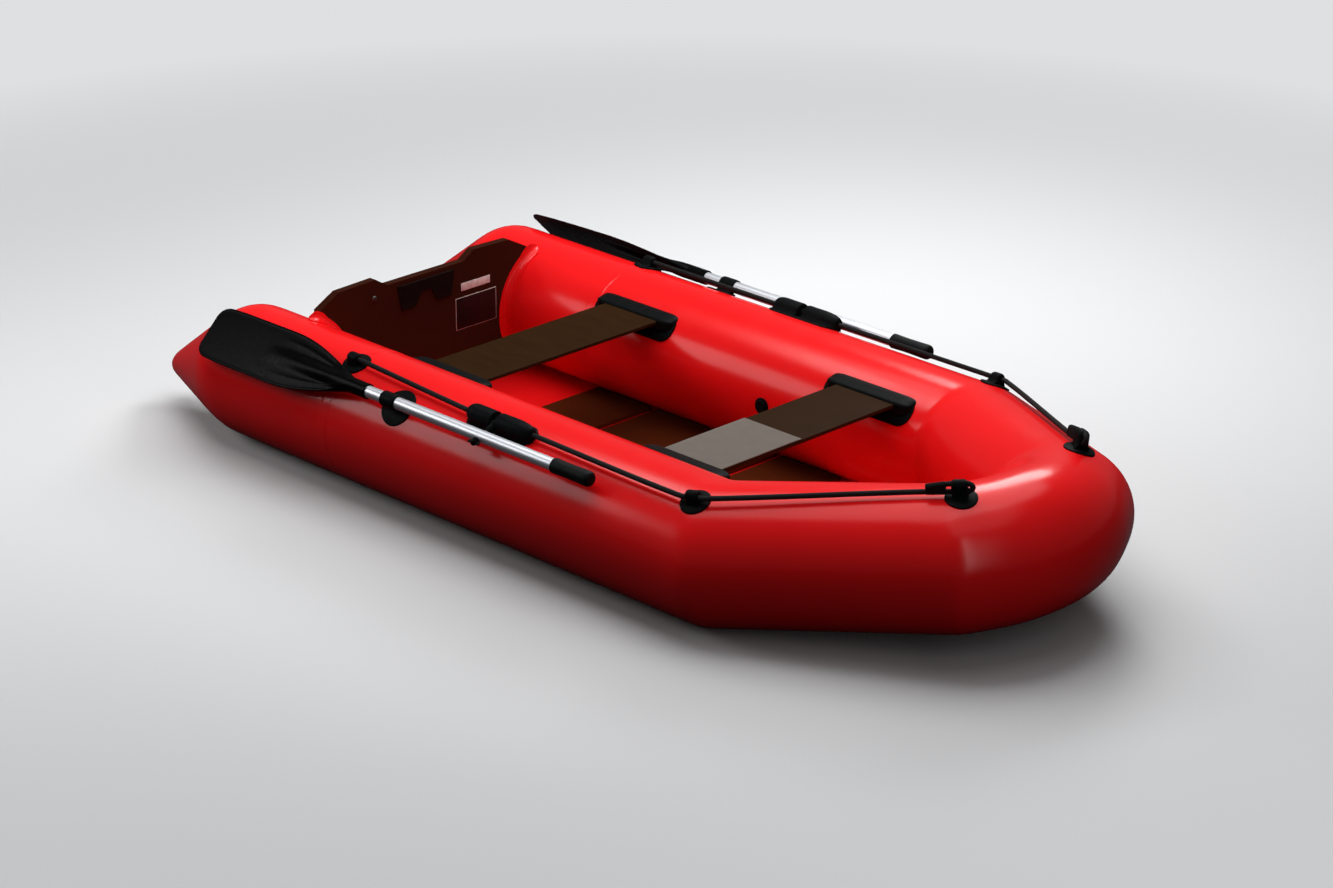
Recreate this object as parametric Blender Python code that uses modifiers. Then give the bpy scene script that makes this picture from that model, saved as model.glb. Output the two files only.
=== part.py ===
"""Inflatable fishing boat: air tubes, plywood transom and floorboards, seats, oars and grab lines.

Frame: +X towards the bow, +Y to port, +Z up. Origin under the middle of the boat, on the water plane.
"""

import math

import bmesh
import bpy
from mathutils import Matrix, Vector

# Sizes are metres, angles are degrees.
# Neighbours that meet keep this gap, and so do pieces that turn or slide in one another.
GAP = 0.0003

# Air tubes
TUBE_RADIUS = 0.19
TUBE_TOP = 2 * TUBE_RADIUS
TUBE_WALL = 0.0011
TUBE_SIDES = 40
HALF_SPACING = 0.4972
STERN_SEAM_X = -0.633
SHOULDER = Vector((0.7146, HALF_SPACING, TUBE_RADIUS))
BOW_CORNER = Vector((1.2617, 0.2031, TUBE_RADIUS + 0.0671))
BOW_MIDDLE = Vector((1.3487, 0.0, TUBE_RADIUS + 0.0856))
BOW_SWELL = 0.018
BOW_BEND = 3
STERN_TIP_X = -1.535

# Stern cone: its radius is a share of the tube's, and reaches are shares of its length
STERN_TAPER = 0.54
CONE_TIP = 0.105
CONE_SLOPE = 1.326
CONE_BLEND = 0.13
CONE_RISE = 0.115
CONE_RISE_REACH = 0.749
NOSE_LENGTH = 0.05

# Floor
FLOOR_THICK = 0.0012
FLOOR_TOP = 0.0066
FLOORBOARD_WIDTH = 0.226
FLOORBOARD_PITCH = FLOORBOARD_WIDTH + 0.0255
FLOORBOARD_THICK = 0.012
FLOORBOARD_TOP = FLOOR_TOP + FLOORBOARD_THICK
FIRST_FLOORBOARD_X = -0.56
FLOORBOARDS = 4
FLOORBOARD_CLEARANCE = 0.0023

# Transom: heights are over the tubes' top, and the ends are set in from the tubes' axes
TRANSOM_X = -0.97
TRANSOM_THICK = 0.025
TRANSOM_CORNER = (HALF_SPACING - 0.0952, TUBE_TOP + 0.0065)
TRANSOM_TOP = (HALF_SPACING - 0.1672, TUBE_TOP + 0.045)
NOTCH_TOP = (0.19, TUBE_TOP + 0.049)
NOTCH_FOOT = (0.147, TUBE_TOP + 0.022)
CLAMP_PAD_THICK = 0.004
CLAMP_PAD_TOP = TUBE_TOP + 0.007
FLANGE_THICK = 0.0018
FLANGE_ON_BOARD = 0.021
FLANGE_ON_TUBE = 0.025
FLANGE_EAR = 0.010
FLANGE_SPAN = (-16.0, -145.0)
BOLT_PLACE = (-0.197, TUBE_TOP - 0.008)
BOLT_HOLE_RADIUS = 0.0043

# Seats: the holders sit on the tubes' inner sides, and the boards in the holders
SEAT_X = 0.457
SEAT_WIDTH = 0.2135
SEAT_THICK = 0.011
HOLDER_ANGLE = -50.5
HOLDER_HALF_BAND = 13.5
HOLDER_LENGTH = 0.32
HOLDER_PLATE = 0.005
HOLDER_Y = HALF_SPACING + TUBE_RADIUS * math.sin(math.radians(HOLDER_ANGLE))
SEAT_TOP = TUBE_RADIUS + TUBE_RADIUS * math.cos(math.radians(HOLDER_ANGLE)) + 0.0191
SEAT_HALF_LENGTH = HOLDER_Y + 0.0044
LIP_Y = HOLDER_Y - 0.0176
LIP_DEPTH = 0.0445
LIP_HEIGHTS = (SEAT_TOP - 0.0305, SEAT_TOP + 0.007)
LIP_BACK_RISE = 0.007
PAD_THICK = 0.003
PAD_START = 0.028

# Grab lines and rope eyes
ROPE_RADIUS = 0.007
EYE_DISC_RADIUS = 0.042
EYE_DISC_THICK = 0.0045
EYE_HOLE_HEIGHT = 0.019
EYE_HOLE_RADIUS = ROPE_RADIUS + 0.003
EYE_LUG_RADIUS = 0.016
EYE_LENGTH = 0.040
EYE_END = 0.004
STERN_EYE = (-0.62, 20.5)
SHOULDER_EYE = (0.713, 25.7)
BOW_EYE_PAST_CORNER = 0.0365
BOW_EYE_ANGLE = 12.0

# Oarlock: its long pin lies over the tube, parallel to it
LOCK_ANGLE = 27.0
LOCK_HEIGHT = 0.018
LOCK_X = -0.010
LOCK_BASE_HALF = (0.1225, 0.038)
LOCK_BASE_THICK = 0.005
LUMP_RADIUS = 0.027
LUMP_SPAN = (-0.119, 0.112)
LUMP_TAPERS = (0.027, 0.055)
LUMP_END = 0.55
SWIVEL_HALF = 0.009
SWIVEL_RADIUS = 0.0235
SWIVEL_BACK_RADIUS = LOCK_HEIGHT - 0.0045
TRUNNION_RADIUS = ROPE_RADIUS + 0.00425
TRUNNION_REACH = 0.045
NECK_RADIUS = 0.0105
NECK_START = 0.0278
NECK_CLEAR = 0.005
BOLT_START = 0.026

# Oar: it hangs outboard of the long pin and a little below it
OAR_FROM_LOCK = (0.0634, -0.0233)
SHAFT_RADIUS = 0.0175
SHAFT_WALL = 0.0015
SHAFT_SPAN = (-0.5195, 0.396)
GRIP_START = 0.273
GRIP_RADIUS = SHAFT_RADIUS + 0.0037
GRIP_END = 0.412
BLADE_TIP_X = -1.163
BLADE_HALF_WIDTH = 0.0835
BLADE_TILT = 45.0
SOCKET_RADIUS = SHAFT_RADIUS + 0.0043
SOCKET_MOUTH_X = -0.464
BOLT_RADIUS = 0.005
NUT_HEIGHT = 0.013
CLIP_X = -0.371
CLIP_DISC_RADIUS = 0.0555
CLIP_DISC_THICK = 0.004
CLIP_BAND_THICK = 0.004
CLIP_BAND_HALF = 0.0275
CLIP_BAND_SPAN = (-105.0, 195.0)
CLIP_POST_WIDTH = 0.026
CLIP_SADDLE = 0.0045

# Air valves
VALVE_X = 0.095
VALVE_ANGLE = -87.0
VALVE_BARREL_RADIUS = 0.0165
VALVE_FLANGE_RADIUS = VALVE_BARREL_RADIUS + 0.0085
VALVE_WALL = 0.003
VALVE_DEPTH = 0.022
CAP_RADIUS = VALVE_BARREL_RADIUS + 0.002

SIDES = (("starboard", -1), ("port", 1))
UP = Vector((0, 0, 1))
FORWARD = Vector((1, 0, 0))
PORTWARD = Vector((0, 1, 0))


def clear_scene():
    for obj in list(bpy.data.objects):
        bpy.data.objects.remove(obj, do_unlink=True)


def new_collection(name):
    collection = bpy.data.collections.new(name)
    bpy.context.scene.collection.children.link(collection)
    return collection


def make_material(name, colour, roughness, metallic=0.0):
    material = bpy.data.materials.new(name)
    material.use_nodes = True
    shader = material.node_tree.nodes["Principled BSDF"]
    shader.inputs["Base Color"].default_value = (*colour, 1)
    shader.inputs["Roughness"].default_value = roughness
    shader.inputs["Metallic"].default_value = metallic
    return material


def hull_red():
    return make_material("hull_red", (0.85, 0.01, 0.012), 0.28)


def floor_red():
    return make_material("floor_red", (0.7, 0.012, 0.014), 0.45)


def transom_wood():
    return make_material("transom_wood", (0.07, 0.02, 0.012), 0.4)


def floorboard_wood():
    return make_material("floorboard_wood", (0.05, 0.018, 0.007), 0.5)


def seat_wood():
    return make_material("seat_wood", (0.035, 0.024, 0.012), 0.45)


def fitting_rubber():
    return make_material("fitting_rubber", (0.012, 0.013, 0.015), 0.5)


def clamp_rubber():
    return make_material("clamp_rubber", (0.01, 0.009, 0.008), 0.6)


def rope_black():
    return make_material("rope_black", (0.01, 0.01, 0.011), 0.7)


def blade_plastic():
    return make_material("blade_plastic", (0.008, 0.008, 0.009), 0.25)


def grip_rubber():
    return make_material("grip_rubber", (0.012, 0.013, 0.014), 0.55)


def shaft_aluminium():
    return make_material("shaft_aluminium", (0.8, 0.83, 0.85), 0.25, 1.0)


def bolt_steel():
    return make_material("bolt_steel", (0.6, 0.6, 0.6), 0.3, 1.0)


def pad_foam():
    return make_material("pad_foam", (0.18, 0.15, 0.13), 0.8)


def finish_mesh(name, builder, material, smooth_angle=35):
    """Turn a BMesh into an object whose faces point outwards."""
    bmesh.ops.recalc_face_normals(builder, faces=builder.faces)
    mesh = bpy.data.meshes.new(name)
    builder.to_mesh(mesh)
    builder.free()
    if material:
        mesh.materials.append(material)
    if smooth_angle:
        mesh.shade_smooth()
        mesh.set_sharp_from_angle(angle=math.radians(smooth_angle))
    obj = bpy.data.objects.new(name, mesh)
    PARTS.objects.link(obj)
    return obj


def move_origin(obj, point):
    """Put the object's origin at a point without moving its mesh."""
    obj.data.transform(Matrix.Translation(-Vector(point)))
    obj.location = point


def add_bevel(obj, width, segments=2, angle=40):
    bevel = obj.modifiers.new("rounding", "BEVEL")
    bevel.width = width
    bevel.segments = segments
    bevel.limit_method = "ANGLE"
    bevel.angle_limit = math.radians(angle)
    return obj


def boolean(target, tool, operation):
    """Cut the tool out of the target, or join it on; the tool becomes a guide."""
    modifier = target.modifiers.new(tool.name, "BOOLEAN")
    modifier.operation = operation
    modifier.solver = "EXACT"
    modifier.object = tool
    for collection in list(tool.users_collection):
        collection.objects.unlink(tool)
    CUTTERS.objects.link(tool)
    tool.hide_render = True
    tool.display_type = "WIRE"


def cut(target, tool):
    boolean(target, tool, "DIFFERENCE")


def join(target, tool):
    boolean(target, tool, "UNION")


def loft(name, rings, material, ring_closed=False, smooth_angle=35, split=False):
    """Skin a row of rings of equal length; the ends are capped unless the row closes on itself."""
    builder = bmesh.new()
    rows = [[builder.verts.new(point) for point in ring] for ring in rings]
    pairs = list(zip(rows[:-1], rows[1:]))
    if ring_closed:
        pairs.append((rows[-1], rows[0]))
    for first, second in pairs:
        for i in range(len(first)):
            j = (i + 1) % len(first)
            builder.faces.new((first[i], first[j], second[j], second[i]))
    if split:
        bmesh.ops.triangulate(builder, faces=builder.faces[:], quad_method="SHORT_EDGE")
    if not ring_closed:
        builder.faces.new(rows[0])
        builder.faces.new(rows[-1])
    return finish_mesh(name, builder, material, smooth_angle)


def box(name, centre, size, material, basis=None):
    """A box by its centre and full size, along the world axes or a given basis."""
    builder = bmesh.new()
    turn = basis.to_4x4() if basis else Matrix.Identity(4)
    place = Matrix.Translation(centre) @ turn @ Matrix.Diagonal((*size, 1))
    bmesh.ops.create_cube(builder, size=1, matrix=place)
    return finish_mesh(name, builder, material)


def cylinder(name, start, end, radius, material=None, sides=32):
    """A round bar between two points."""
    start = Vector(start)
    end = Vector(end)
    axis = end - start
    turn = axis.to_track_quat("Z", "Y").to_matrix().to_4x4()
    builder = bmesh.new()
    bmesh.ops.create_cone(
        builder,
        cap_ends=True,
        segments=sides,
        radius1=radius,
        radius2=radius,
        depth=axis.length,
        matrix=Matrix.Translation((start + end) / 2) @ turn,
    )
    return finish_mesh(name, builder, material)


def flat_piece(name, outlines, centre, across, up, half_depth, material):
    """A flat piece from closed outlines of (u, v) pairs, drawn along two directions at its middle."""
    curve = bpy.data.curves.new(name, "CURVE")
    curve.dimensions = "2D"
    curve.fill_mode = "BOTH"
    curve.extrude = half_depth
    for outline in outlines:
        spline = curve.splines.new("POLY")
        spline.points.add(len(outline) - 1)
        spline.use_cyclic_u = True
        for target, (u, v) in zip(spline.points, outline):
            target.co = (u, v, 0, 1)
    basis = Matrix((across, up, Vector(across).cross(up))).transposed().to_4x4()
    guide = bpy.data.objects.new(name + "_outline", curve)
    PARTS.objects.link(guide)
    guide.matrix_world = Matrix.Translation(centre) @ basis
    graph = bpy.context.evaluated_depsgraph_get()
    mesh = bpy.data.meshes.new_from_object(guide.evaluated_get(graph))
    builder = bmesh.new()
    builder.from_mesh(mesh)
    bmesh.ops.remove_doubles(builder, verts=builder.verts, dist=0.00001)
    piece = finish_mesh(name, builder, material)
    piece.matrix_world = guide.matrix_world
    bpy.data.objects.remove(guide)
    bpy.data.meshes.remove(mesh)
    return piece


def turned(name, profile, origin, axis, material, steps=20):
    """Spin a closed profile of (radius, height) pairs round an axis with a Screw modifier."""
    mesh = bpy.data.meshes.new(name)
    points = [(radius, 0, height) for radius, height in profile]
    count = len(points)
    closed = min(radius for radius, _ in profile) > 0
    edges = [(i, (i + 1) % count) for i in range(count if closed else count - 1)]
    mesh.from_pydata(points, edges, [])
    mesh.materials.append(material)
    obj = bpy.data.objects.new(name, mesh)
    PARTS.objects.link(obj)
    obj.matrix_world = Matrix.Translation(origin) @ Vector(axis).to_track_quat("Z", "Y").to_matrix().to_4x4()
    screw = obj.modifiers.new("turning", "SCREW")
    screw.steps = steps
    screw.render_steps = steps
    screw.use_merge_vertices = True
    screw.merge_threshold = 0.00001
    screw.use_smooth_shade = True
    return obj


def arc(centre, radius, start, end, count):
    """Points of (u, v) on an arc, from the start angle to the end angle."""
    points = []
    for i in range(count):
        angle = math.radians(start + (end - start) * i / (count - 1))
        points.append((centre[0] + radius * math.cos(angle), centre[1] + radius * math.sin(angle)))
    return points


def mirrored(point, side):
    return Vector((point[0], side * point[1], point[2]))


class TubeBasis:
    """Directions round a tube: along it, up, and outboard on the given side."""

    def __init__(self, heading, side):
        self.along = heading.normalized()
        self.up = (UP - UP.dot(self.along) * self.along).normalized()
        self.outboard = -side * self.along.cross(self.up)

    def radial(self, angle):
        """Unit vector at an angle from the top, positive outboard."""
        turn = math.radians(angle)
        return self.up * math.cos(turn) + self.outboard * math.sin(turn)


def centreline(side):
    """Corners of the tubes' centre line, from the stern seam round the bow to its middle."""
    stern = Vector((STERN_SEAM_X, HALF_SPACING, TUBE_RADIUS))
    between = BOW_CORNER.lerp(BOW_MIDDLE, 0.5) + BOW_SWELL * FORWARD
    return [mirrored(p, side) for p in (stern, SHOULDER, BOW_CORNER, between, BOW_MIDDLE)]


def mitre_normal(line, index):
    """Normal of the plane that halves the bend at a corner of the centre line."""
    before = (line[index] - line[index - 1]).normalized()
    if index == len(line) - 1:
        return Vector((0, 1 if before.y > 0 else -1, 0))
    after = (line[index + 1] - line[index]).normalized()
    return (before + after).normalized()


def tube_ring(side, index, radius, shift):
    """The tubes' section at a corner of the centre line, moved along the run by the shift."""
    line = centreline(side)
    bent = index >= BOW_BEND
    normal = mitre_normal(line, index) if index else FORWARD
    basis = TubeBasis(normal if bent else line[max(index, 1)] - line[max(index, 1) - 1], side)
    ring = []
    for i in range(TUBE_SIDES):
        point = line[index] + radius * basis.radial(360 * i / TUBE_SIDES)
        slide = ((line[index] - point).dot(normal) + shift) / basis.along.dot(normal)
        ring.append(point + basis.along * slide)
    return ring


def sleeve(name, stations, material):
    """A thin tube open at both ends, through stations of (side, corner, shift)."""
    inner_radius = TUBE_RADIUS - TUBE_WALL
    outer = [tube_ring(side, index, TUBE_RADIUS, shift) for side, index, shift in stations]
    inner = [tube_ring(side, index, inner_radius, shift) for side, index, shift in stations]
    return loft(name, outer + inner[::-1], material, ring_closed=True, smooth_angle=20, split=True)


def tube_length(name, side, first, material):
    """The straight length that starts at a corner, mitred at both ends."""
    return sleeve(name, [(side, first, GAP / 2), (side, first + 1, -GAP / 2)], material)


def stern_section(x):
    """Radius and height of the centre of the stern tube at a place along it."""
    reach = (x - STERN_TIP_X) / STERN_TAPER
    cone = CONE_TIP + CONE_SLOPE * max(0.0, reach)
    blend = max(0.0, CONE_BLEND - abs(cone - 1)) / CONE_BLEND
    radius = TUBE_RADIUS * (min(1.0, cone) - CONE_BLEND * blend ** 2 / 4)
    bottom = CONE_RISE * max(0.0, CONE_RISE_REACH - reach)
    return radius, bottom + radius


def stern_stations():
    """Places along the stern tube, close together where its tip rounds off."""
    nose = [0.0008, 0.008, 0.025, NOSE_LENGTH]
    taper = [0.17, 0.28, 0.33, 0.375, 0.42]
    return [STERN_TIP_X + d for d in nose + taper] + [STERN_SEAM_X - GAP / 2]


def stern_ring(x, side, inset):
    """One ring of the stern tube; the nose rounds the blunt tip like a ball."""
    radius, height = stern_section(x)
    depth = min(1.0, (x - STERN_TIP_X) / NOSE_LENGTH)
    radius = radius * math.sqrt(1 - (1 - depth) ** 2) - inset
    basis = TubeBasis(FORWARD, side)
    centre = Vector((x, side * HALF_SPACING, height))
    return [centre + radius * basis.radial(360 * i / TUBE_SIDES) for i in range(TUBE_SIDES)]


def stern_tube(label, side, material):
    """The stern length of a side tube, closed at its tapered end."""
    stations = stern_stations()
    outer = [stern_ring(x, side, 0) for x in stations]
    inner = [stern_ring(x, side, TUBE_WALL) for x in stations[2::2]]
    return loft(f"{label}_stern_tube", outer + inner[::-1], material, smooth_angle=40)


def bow_front_tube(material):
    """The tube across the bow, bent evenly between its two mitred corners."""
    stations = [(-1, 2, GAP / 2), (-1, 3, 0), (-1, 4, 0), (1, 3, 0), (1, 2, GAP / 2)]
    return sleeve("bow_front_tube", stations, material)


def bow_baffle(material):
    """The fabric wall between the port and starboard air chambers."""
    half = Vector((0, TUBE_WALL / 2, 0))
    radius = TUBE_RADIUS - TUBE_WALL - 0.0008
    return cylinder("bow_baffle", BOW_MIDDLE - half, BOW_MIDDLE + half, radius, material, TUBE_SIDES)


def valve_hole(label, side, side_tube):
    """The hole through the tube's skin that takes the valve's barrel."""
    origin, basis = tube_place(VALVE_X, VALVE_ANGLE, side)
    axis = basis.radial(VALVE_ANGLE)
    hole = cylinder(
        f"{label}_valve_hole",
        origin - 0.03 * axis,
        origin + 0.03 * axis,
        VALVE_BARREL_RADIUS + GAP,
    )
    cut(side_tube, hole)


def tube_place(x, angle, side):
    """The point on a straight side tube at a place and an angle, and its directions."""
    basis = TubeBasis(FORWARD, side)
    centre = Vector((x, side * HALF_SPACING, TUBE_RADIUS))
    return centre + TUBE_RADIUS * basis.radial(angle), basis


def skin_point(side, origin, direction, lift):
    """Where a line meets the tubes' outer skin, raised by a small lift."""
    line = centreline(side)
    best = None
    for index in range(len(line) - 1):
        along = (line[index + 1] - line[index]).normalized()
        offset = origin - line[index]
        offset -= offset.dot(along) * along
        slope = direction - direction.dot(along) * along
        a = slope.dot(slope)
        b = 2 * slope.dot(offset)
        c = offset.dot(offset) - (TUBE_RADIUS + lift) ** 2
        root = b * b - 4 * a * c
        if root < 0:
            continue
        travel = (-b - math.sqrt(root)) / (2 * a)
        point = origin + travel * direction
        after_start = index == 0 or (point - line[index]).dot(mitre_normal(line, index)) >= -1e-6
        at_end = (point - line[index + 1]).dot(mitre_normal(line, index + 1))
        if after_start and at_end <= 1e-6 and (best is None or travel < best[0]):
            best = (travel, point)
    return best[1]


class Seat:
    """A place on the tubes' skin, with directions along, outboard and away from it."""

    def __init__(self, side, origin, along, away):
        self.side = side
        self.origin = origin
        self.away = away.normalized()
        self.along = (along - along.dot(self.away) * self.away).normalized()
        self.outboard = -side * self.along.cross(self.away)

    def at(self, along, outboard, away):
        return self.origin + along * self.along + outboard * self.outboard + away * self.away

    def on_skin(self, along, outboard, lift):
        start = self.at(along, outboard, 0.05)
        return skin_point(self.side, start, -self.away, lift)


def side_seat(x, angle, side):
    origin, basis = tube_place(x, angle, side)
    return Seat(side, origin, FORWARD, basis.radial(angle))


def round_rows(radius, count=7):
    """Rows of a disc: each is a distance across it and the half width there."""
    rows = []
    for i in range(count):
        angle = math.radians(-82 + 164 * i / (count - 1))
        rows.append((radius * math.sin(angle), radius * math.cos(angle)))
    return rows


def rounded_rows(half_length, half_width, corner, count=4):
    """Rows of a rectangle with round corners, across its width."""
    rows = []
    for i in range(count):
        angle = math.radians(-84 + 84 * i / (count - 1))
        across = -half_width + corner * (1 + math.sin(angle))
        rows.append((across, half_length - corner * (1 - math.cos(angle))))
    middle = half_width - corner
    flat = [(-middle + 2 * middle * i / 4, half_length) for i in range(1, 4)]
    return rows + flat + [(-across, width) for across, width in rows[::-1]]


def skin_pad(name, seat, rows, thickness, material, edge=0.35, base=GAP):
    """A pad glued on the skin, thinner at its rim."""
    spread = (-1.0, -0.8, 0.0, 0.8, 1.0)
    limit = max(abs(across) for across, _ in rows)
    rings = []
    for across, width in rows:
        rim = max(edge, min(1.0, (1 - abs(across) / limit) * 6 + edge))
        low = [seat.on_skin(s * width, across, base) for s in spread]
        lifts = [thickness * (edge if abs(s) == 1 else rim) for s in spread]
        high = [seat.on_skin(s * width, across, GAP + h) for s, h in zip(spread, lifts)]
        rings.append(low + high[::-1])
    return loft(name, rings, material, smooth_angle=50)


def shape_on_tubes(piece, side, lengths):
    """Cut away what reaches into these lengths of tube, or nearer to them than the gap."""
    stations = [(index, 0) for index in range(lengths[0], lengths[-1] + 2)]
    if stations[0][0] == 0:
        stations[0] = (0, -0.1)
    rings = [tube_ring(side, index, TUBE_RADIUS + GAP, shift) for index, shift in stations]
    cut(piece, loft(piece.name + "_former", rings, None, split=True))


def floor_sheet(material):
    """The fabric bottom under the floorboards, from behind the transom to the shoulders."""
    start = TRANSOM_X - 0.03
    end = SHOULDER.x - GAP / 2
    half_width = math.sqrt(TUBE_RADIUS ** 2 - (TUBE_RADIUS - FLOOR_TOP) ** 2)
    width = 2 * (HALF_SPACING - half_width - 4 * GAP)
    centre = ((start + end) / 2, 0, FLOOR_TOP - GAP - FLOOR_THICK / 2)
    return box("floor_sheet", centre, (end - start, width, FLOOR_THICK), material)


def bow_floor_sheet(material):
    """The fabric bottom in the bow, which rises with the tubes."""
    line = centreline(1)
    turn = -180 + math.degrees(math.acos((TUBE_RADIUS - FLOOR_TOP) / TUBE_RADIUS))
    edge = []
    for index in range(1, len(line)):
        basis = TubeBasis(line[index] - line[index - 1], 1)
        normal = mitre_normal(line, index)
        point = line[index] + TUBE_RADIUS * basis.radial(turn)
        point += basis.along * ((line[index] - point).dot(normal) / basis.along.dot(normal))
        edge.append(point + Vector((-5 * GAP * (index > 1), -4 * GAP, -GAP)))
    edge[0].x = SHOULDER.x + GAP / 2
    edge[-1].y = 0.004
    rings = []
    down = Vector((0, 0, -FLOOR_THICK))
    for point in edge:
        far = mirrored(point, -1)
        rings.append([point, far, far + down, point + down])
    return loft("bow_floor_sheet", rings, material, smooth_angle=0)


def floorboard(number, material):
    x = FIRST_FLOORBOARD_X + number * FLOORBOARD_PITCH
    z = FLOOR_TOP + FLOORBOARD_THICK / 2
    at_top = math.sqrt(TUBE_RADIUS ** 2 - (TUBE_RADIUS - FLOORBOARD_TOP) ** 2)
    length = 2 * (HALF_SPACING - at_top - FLOORBOARD_CLEARANCE)
    size = (FLOORBOARD_WIDTH, length, FLOORBOARD_THICK)
    board = box(f"floorboard_{number + 1}", (x, 0, z), size, material)
    move_origin(board, (x, 0, z))
    return add_bevel(board, 0.002)


def transom_outline():
    """The board's outline from its top down the side that fits the tube, and mirrored."""
    reach = TUBE_RADIUS + 2 * GAP
    foot = FLOOR_TOP + GAP
    first = math.degrees(math.acos((TRANSOM_CORNER[0] - HALF_SPACING) / reach))
    last = 360 - math.degrees(math.acos(-math.sqrt(1 - ((TUBE_RADIUS - foot) / reach) ** 2)))
    fit = arc((HALF_SPACING, TUBE_RADIUS), reach, first, last, 22)
    half = [NOTCH_FOOT, NOTCH_TOP, TRANSOM_TOP, TRANSOM_CORNER] + fit
    return half + [(-y, z) for y, z in half[::-1]]


def transom_board(material):
    middle = (TRANSOM_X - TRANSOM_THICK / 2, 0, 0)
    half = TRANSOM_THICK / 2
    board = flat_piece("transom_board", [transom_outline()], middle, PORTWARD, UP, half, material)
    y, z = BOLT_PLACE
    through = Vector((2 * TRANSOM_THICK, 0, 0))
    place = Vector((TRANSOM_X, y, z))
    cut(board, cylinder("transom_bolt_hole", place - through, place + through, BOLT_HOLE_RADIUS))
    return board


def transom_clamp_pad(material):
    """The pad that a motor's clamps press on, with its two feet."""
    drops = [(0.111, 0), (0.096, 0.076), (0.042, 0.076), (0.0185, 0.037)]
    half = [(y, CLAMP_PAD_TOP - drop) for y, drop in drops]
    outline = half + [(-y, z) for y, z in half[::-1]]
    middle = (TRANSOM_X + GAP + CLAMP_PAD_THICK / 2, 0, 0)
    pad = flat_piece("transom_clamp_pad", [outline], middle, PORTWARD, UP, CLAMP_PAD_THICK / 2, material)
    return add_bevel(pad, 0.001)


def transom_bolt(material):
    y, z = BOLT_PLACE
    shank = BOLT_HOLE_RADIUS - GAP
    end = -TRANSOM_THICK - 0.0093
    head = [(0, 0.0052), (0.004, 0.0046), (0.0075, 0.0030), (0.0095, 0)]
    profile = head + [(shank, 0), (shank, end), (0, end)]
    return turned("transom_bolt", profile, (TRANSOM_X + GAP, y, z), FORWARD, material)


def transom_nut(material):
    y, z = BOLT_PLACE
    height = 0.0066
    middle = (TRANSOM_X - TRANSOM_THICK - GAP - height / 2, y, z)
    hexagon = arc((0, 0), 0.0075, 0, 300, 6)
    hole = arc((0, 0), BOLT_HOLE_RADIUS, 0, 342, 20)
    return flat_piece("transom_nut", [hexagon, hole], middle, PORTWARD, UP, height / 2, material)


def transom_flange(label, side, material):
    """The glued strip that holds the transom to a tube, standing up past the board's end."""
    face = TRANSOM_X + GAP
    top, bottom = FLANGE_SPAN
    steps = 30
    ear_length = 20
    rings = []
    for i in range(steps + 1):
        angle = top + (bottom - top) * i / steps
        outer = TUBE_RADIUS + FLANGE_ON_BOARD
        if angle > top - ear_length:
            outer += FLANGE_EAR * math.sin(math.pi * (top - angle) / ear_length)
        low = TUBE_RADIUS + GAP
        high = low + FLANGE_THICK
        shape = [
            (low, face),
            (outer, face),
            (outer, face + FLANGE_THICK),
            (high, face + FLANGE_THICK),
            (high, face + FLANGE_ON_TUBE),
            (low, face + FLANGE_ON_TUBE),
        ]
        direction = TubeBasis(FORWARD, side).radial(angle)
        centre = Vector((0, side * HALF_SPACING, TUBE_RADIUS))
        rings.append([centre + r * direction + Vector((x, 0, 0)) for r, x in shape])
    return loft(f"{label}_transom_flange", rings, material)


def seat_board(name, x, material):
    z = SEAT_TOP - SEAT_THICK / 2
    size = (SEAT_WIDTH, 2 * SEAT_HALF_LENGTH, SEAT_THICK)
    board = box(name, (x, 0, z), size, material)
    move_origin(board, (x, 0, z))
    return add_bevel(board, 0.002)


def seat_pad(material):
    """The pad on the starboard half of the front seat."""
    end = LIP_Y - 0.001
    centre = (SEAT_X, -(PAD_START + end) / 2, SEAT_TOP + GAP + PAD_THICK / 2)
    pad = box("seat_pad", centre, (SEAT_WIDTH - 0.001, end - PAD_START, PAD_THICK), material)
    move_origin(pad, centre)
    return add_bevel(pad, 0.0008)


def holder_lip(name, x, side, material):
    """The raised pocket of a seat holder, with its ends rounded off."""
    low, high = LIP_HEIGHTS
    front = LIP_Y
    back = LIP_Y + LIP_DEPTH
    outline = arc((front + 0.006, low + 0.006), 0.006, 250, 180, 3)
    outline += arc((front + 0.008, high - 0.008), 0.008, 180, 98, 4)
    outline += [(back, high + LIP_BACK_RISE), (back + 0.035, high - 0.01), (back + 0.01, low - 0.012)]
    root = (back + 0.006, (low + high) / 2)
    half = HOLDER_LENGTH / 2
    rings = []
    for inset, share in ((0.007, 0.55), (0.010, 0.74), (0.018, 0.91), (0.032, 1.0)):
        ring = [(root[0] + (y - root[0]) * share, root[1] + (z - root[1]) * share) for y, z in outline]
        rings.append((half - inset, ring))
    places = [(-place, ring) for place, ring in rings] + rings[::-1]
    return loft(name, [[Vector((x + dx, side * y, z)) for y, z in ring] for dx, ring in places], material)


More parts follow.
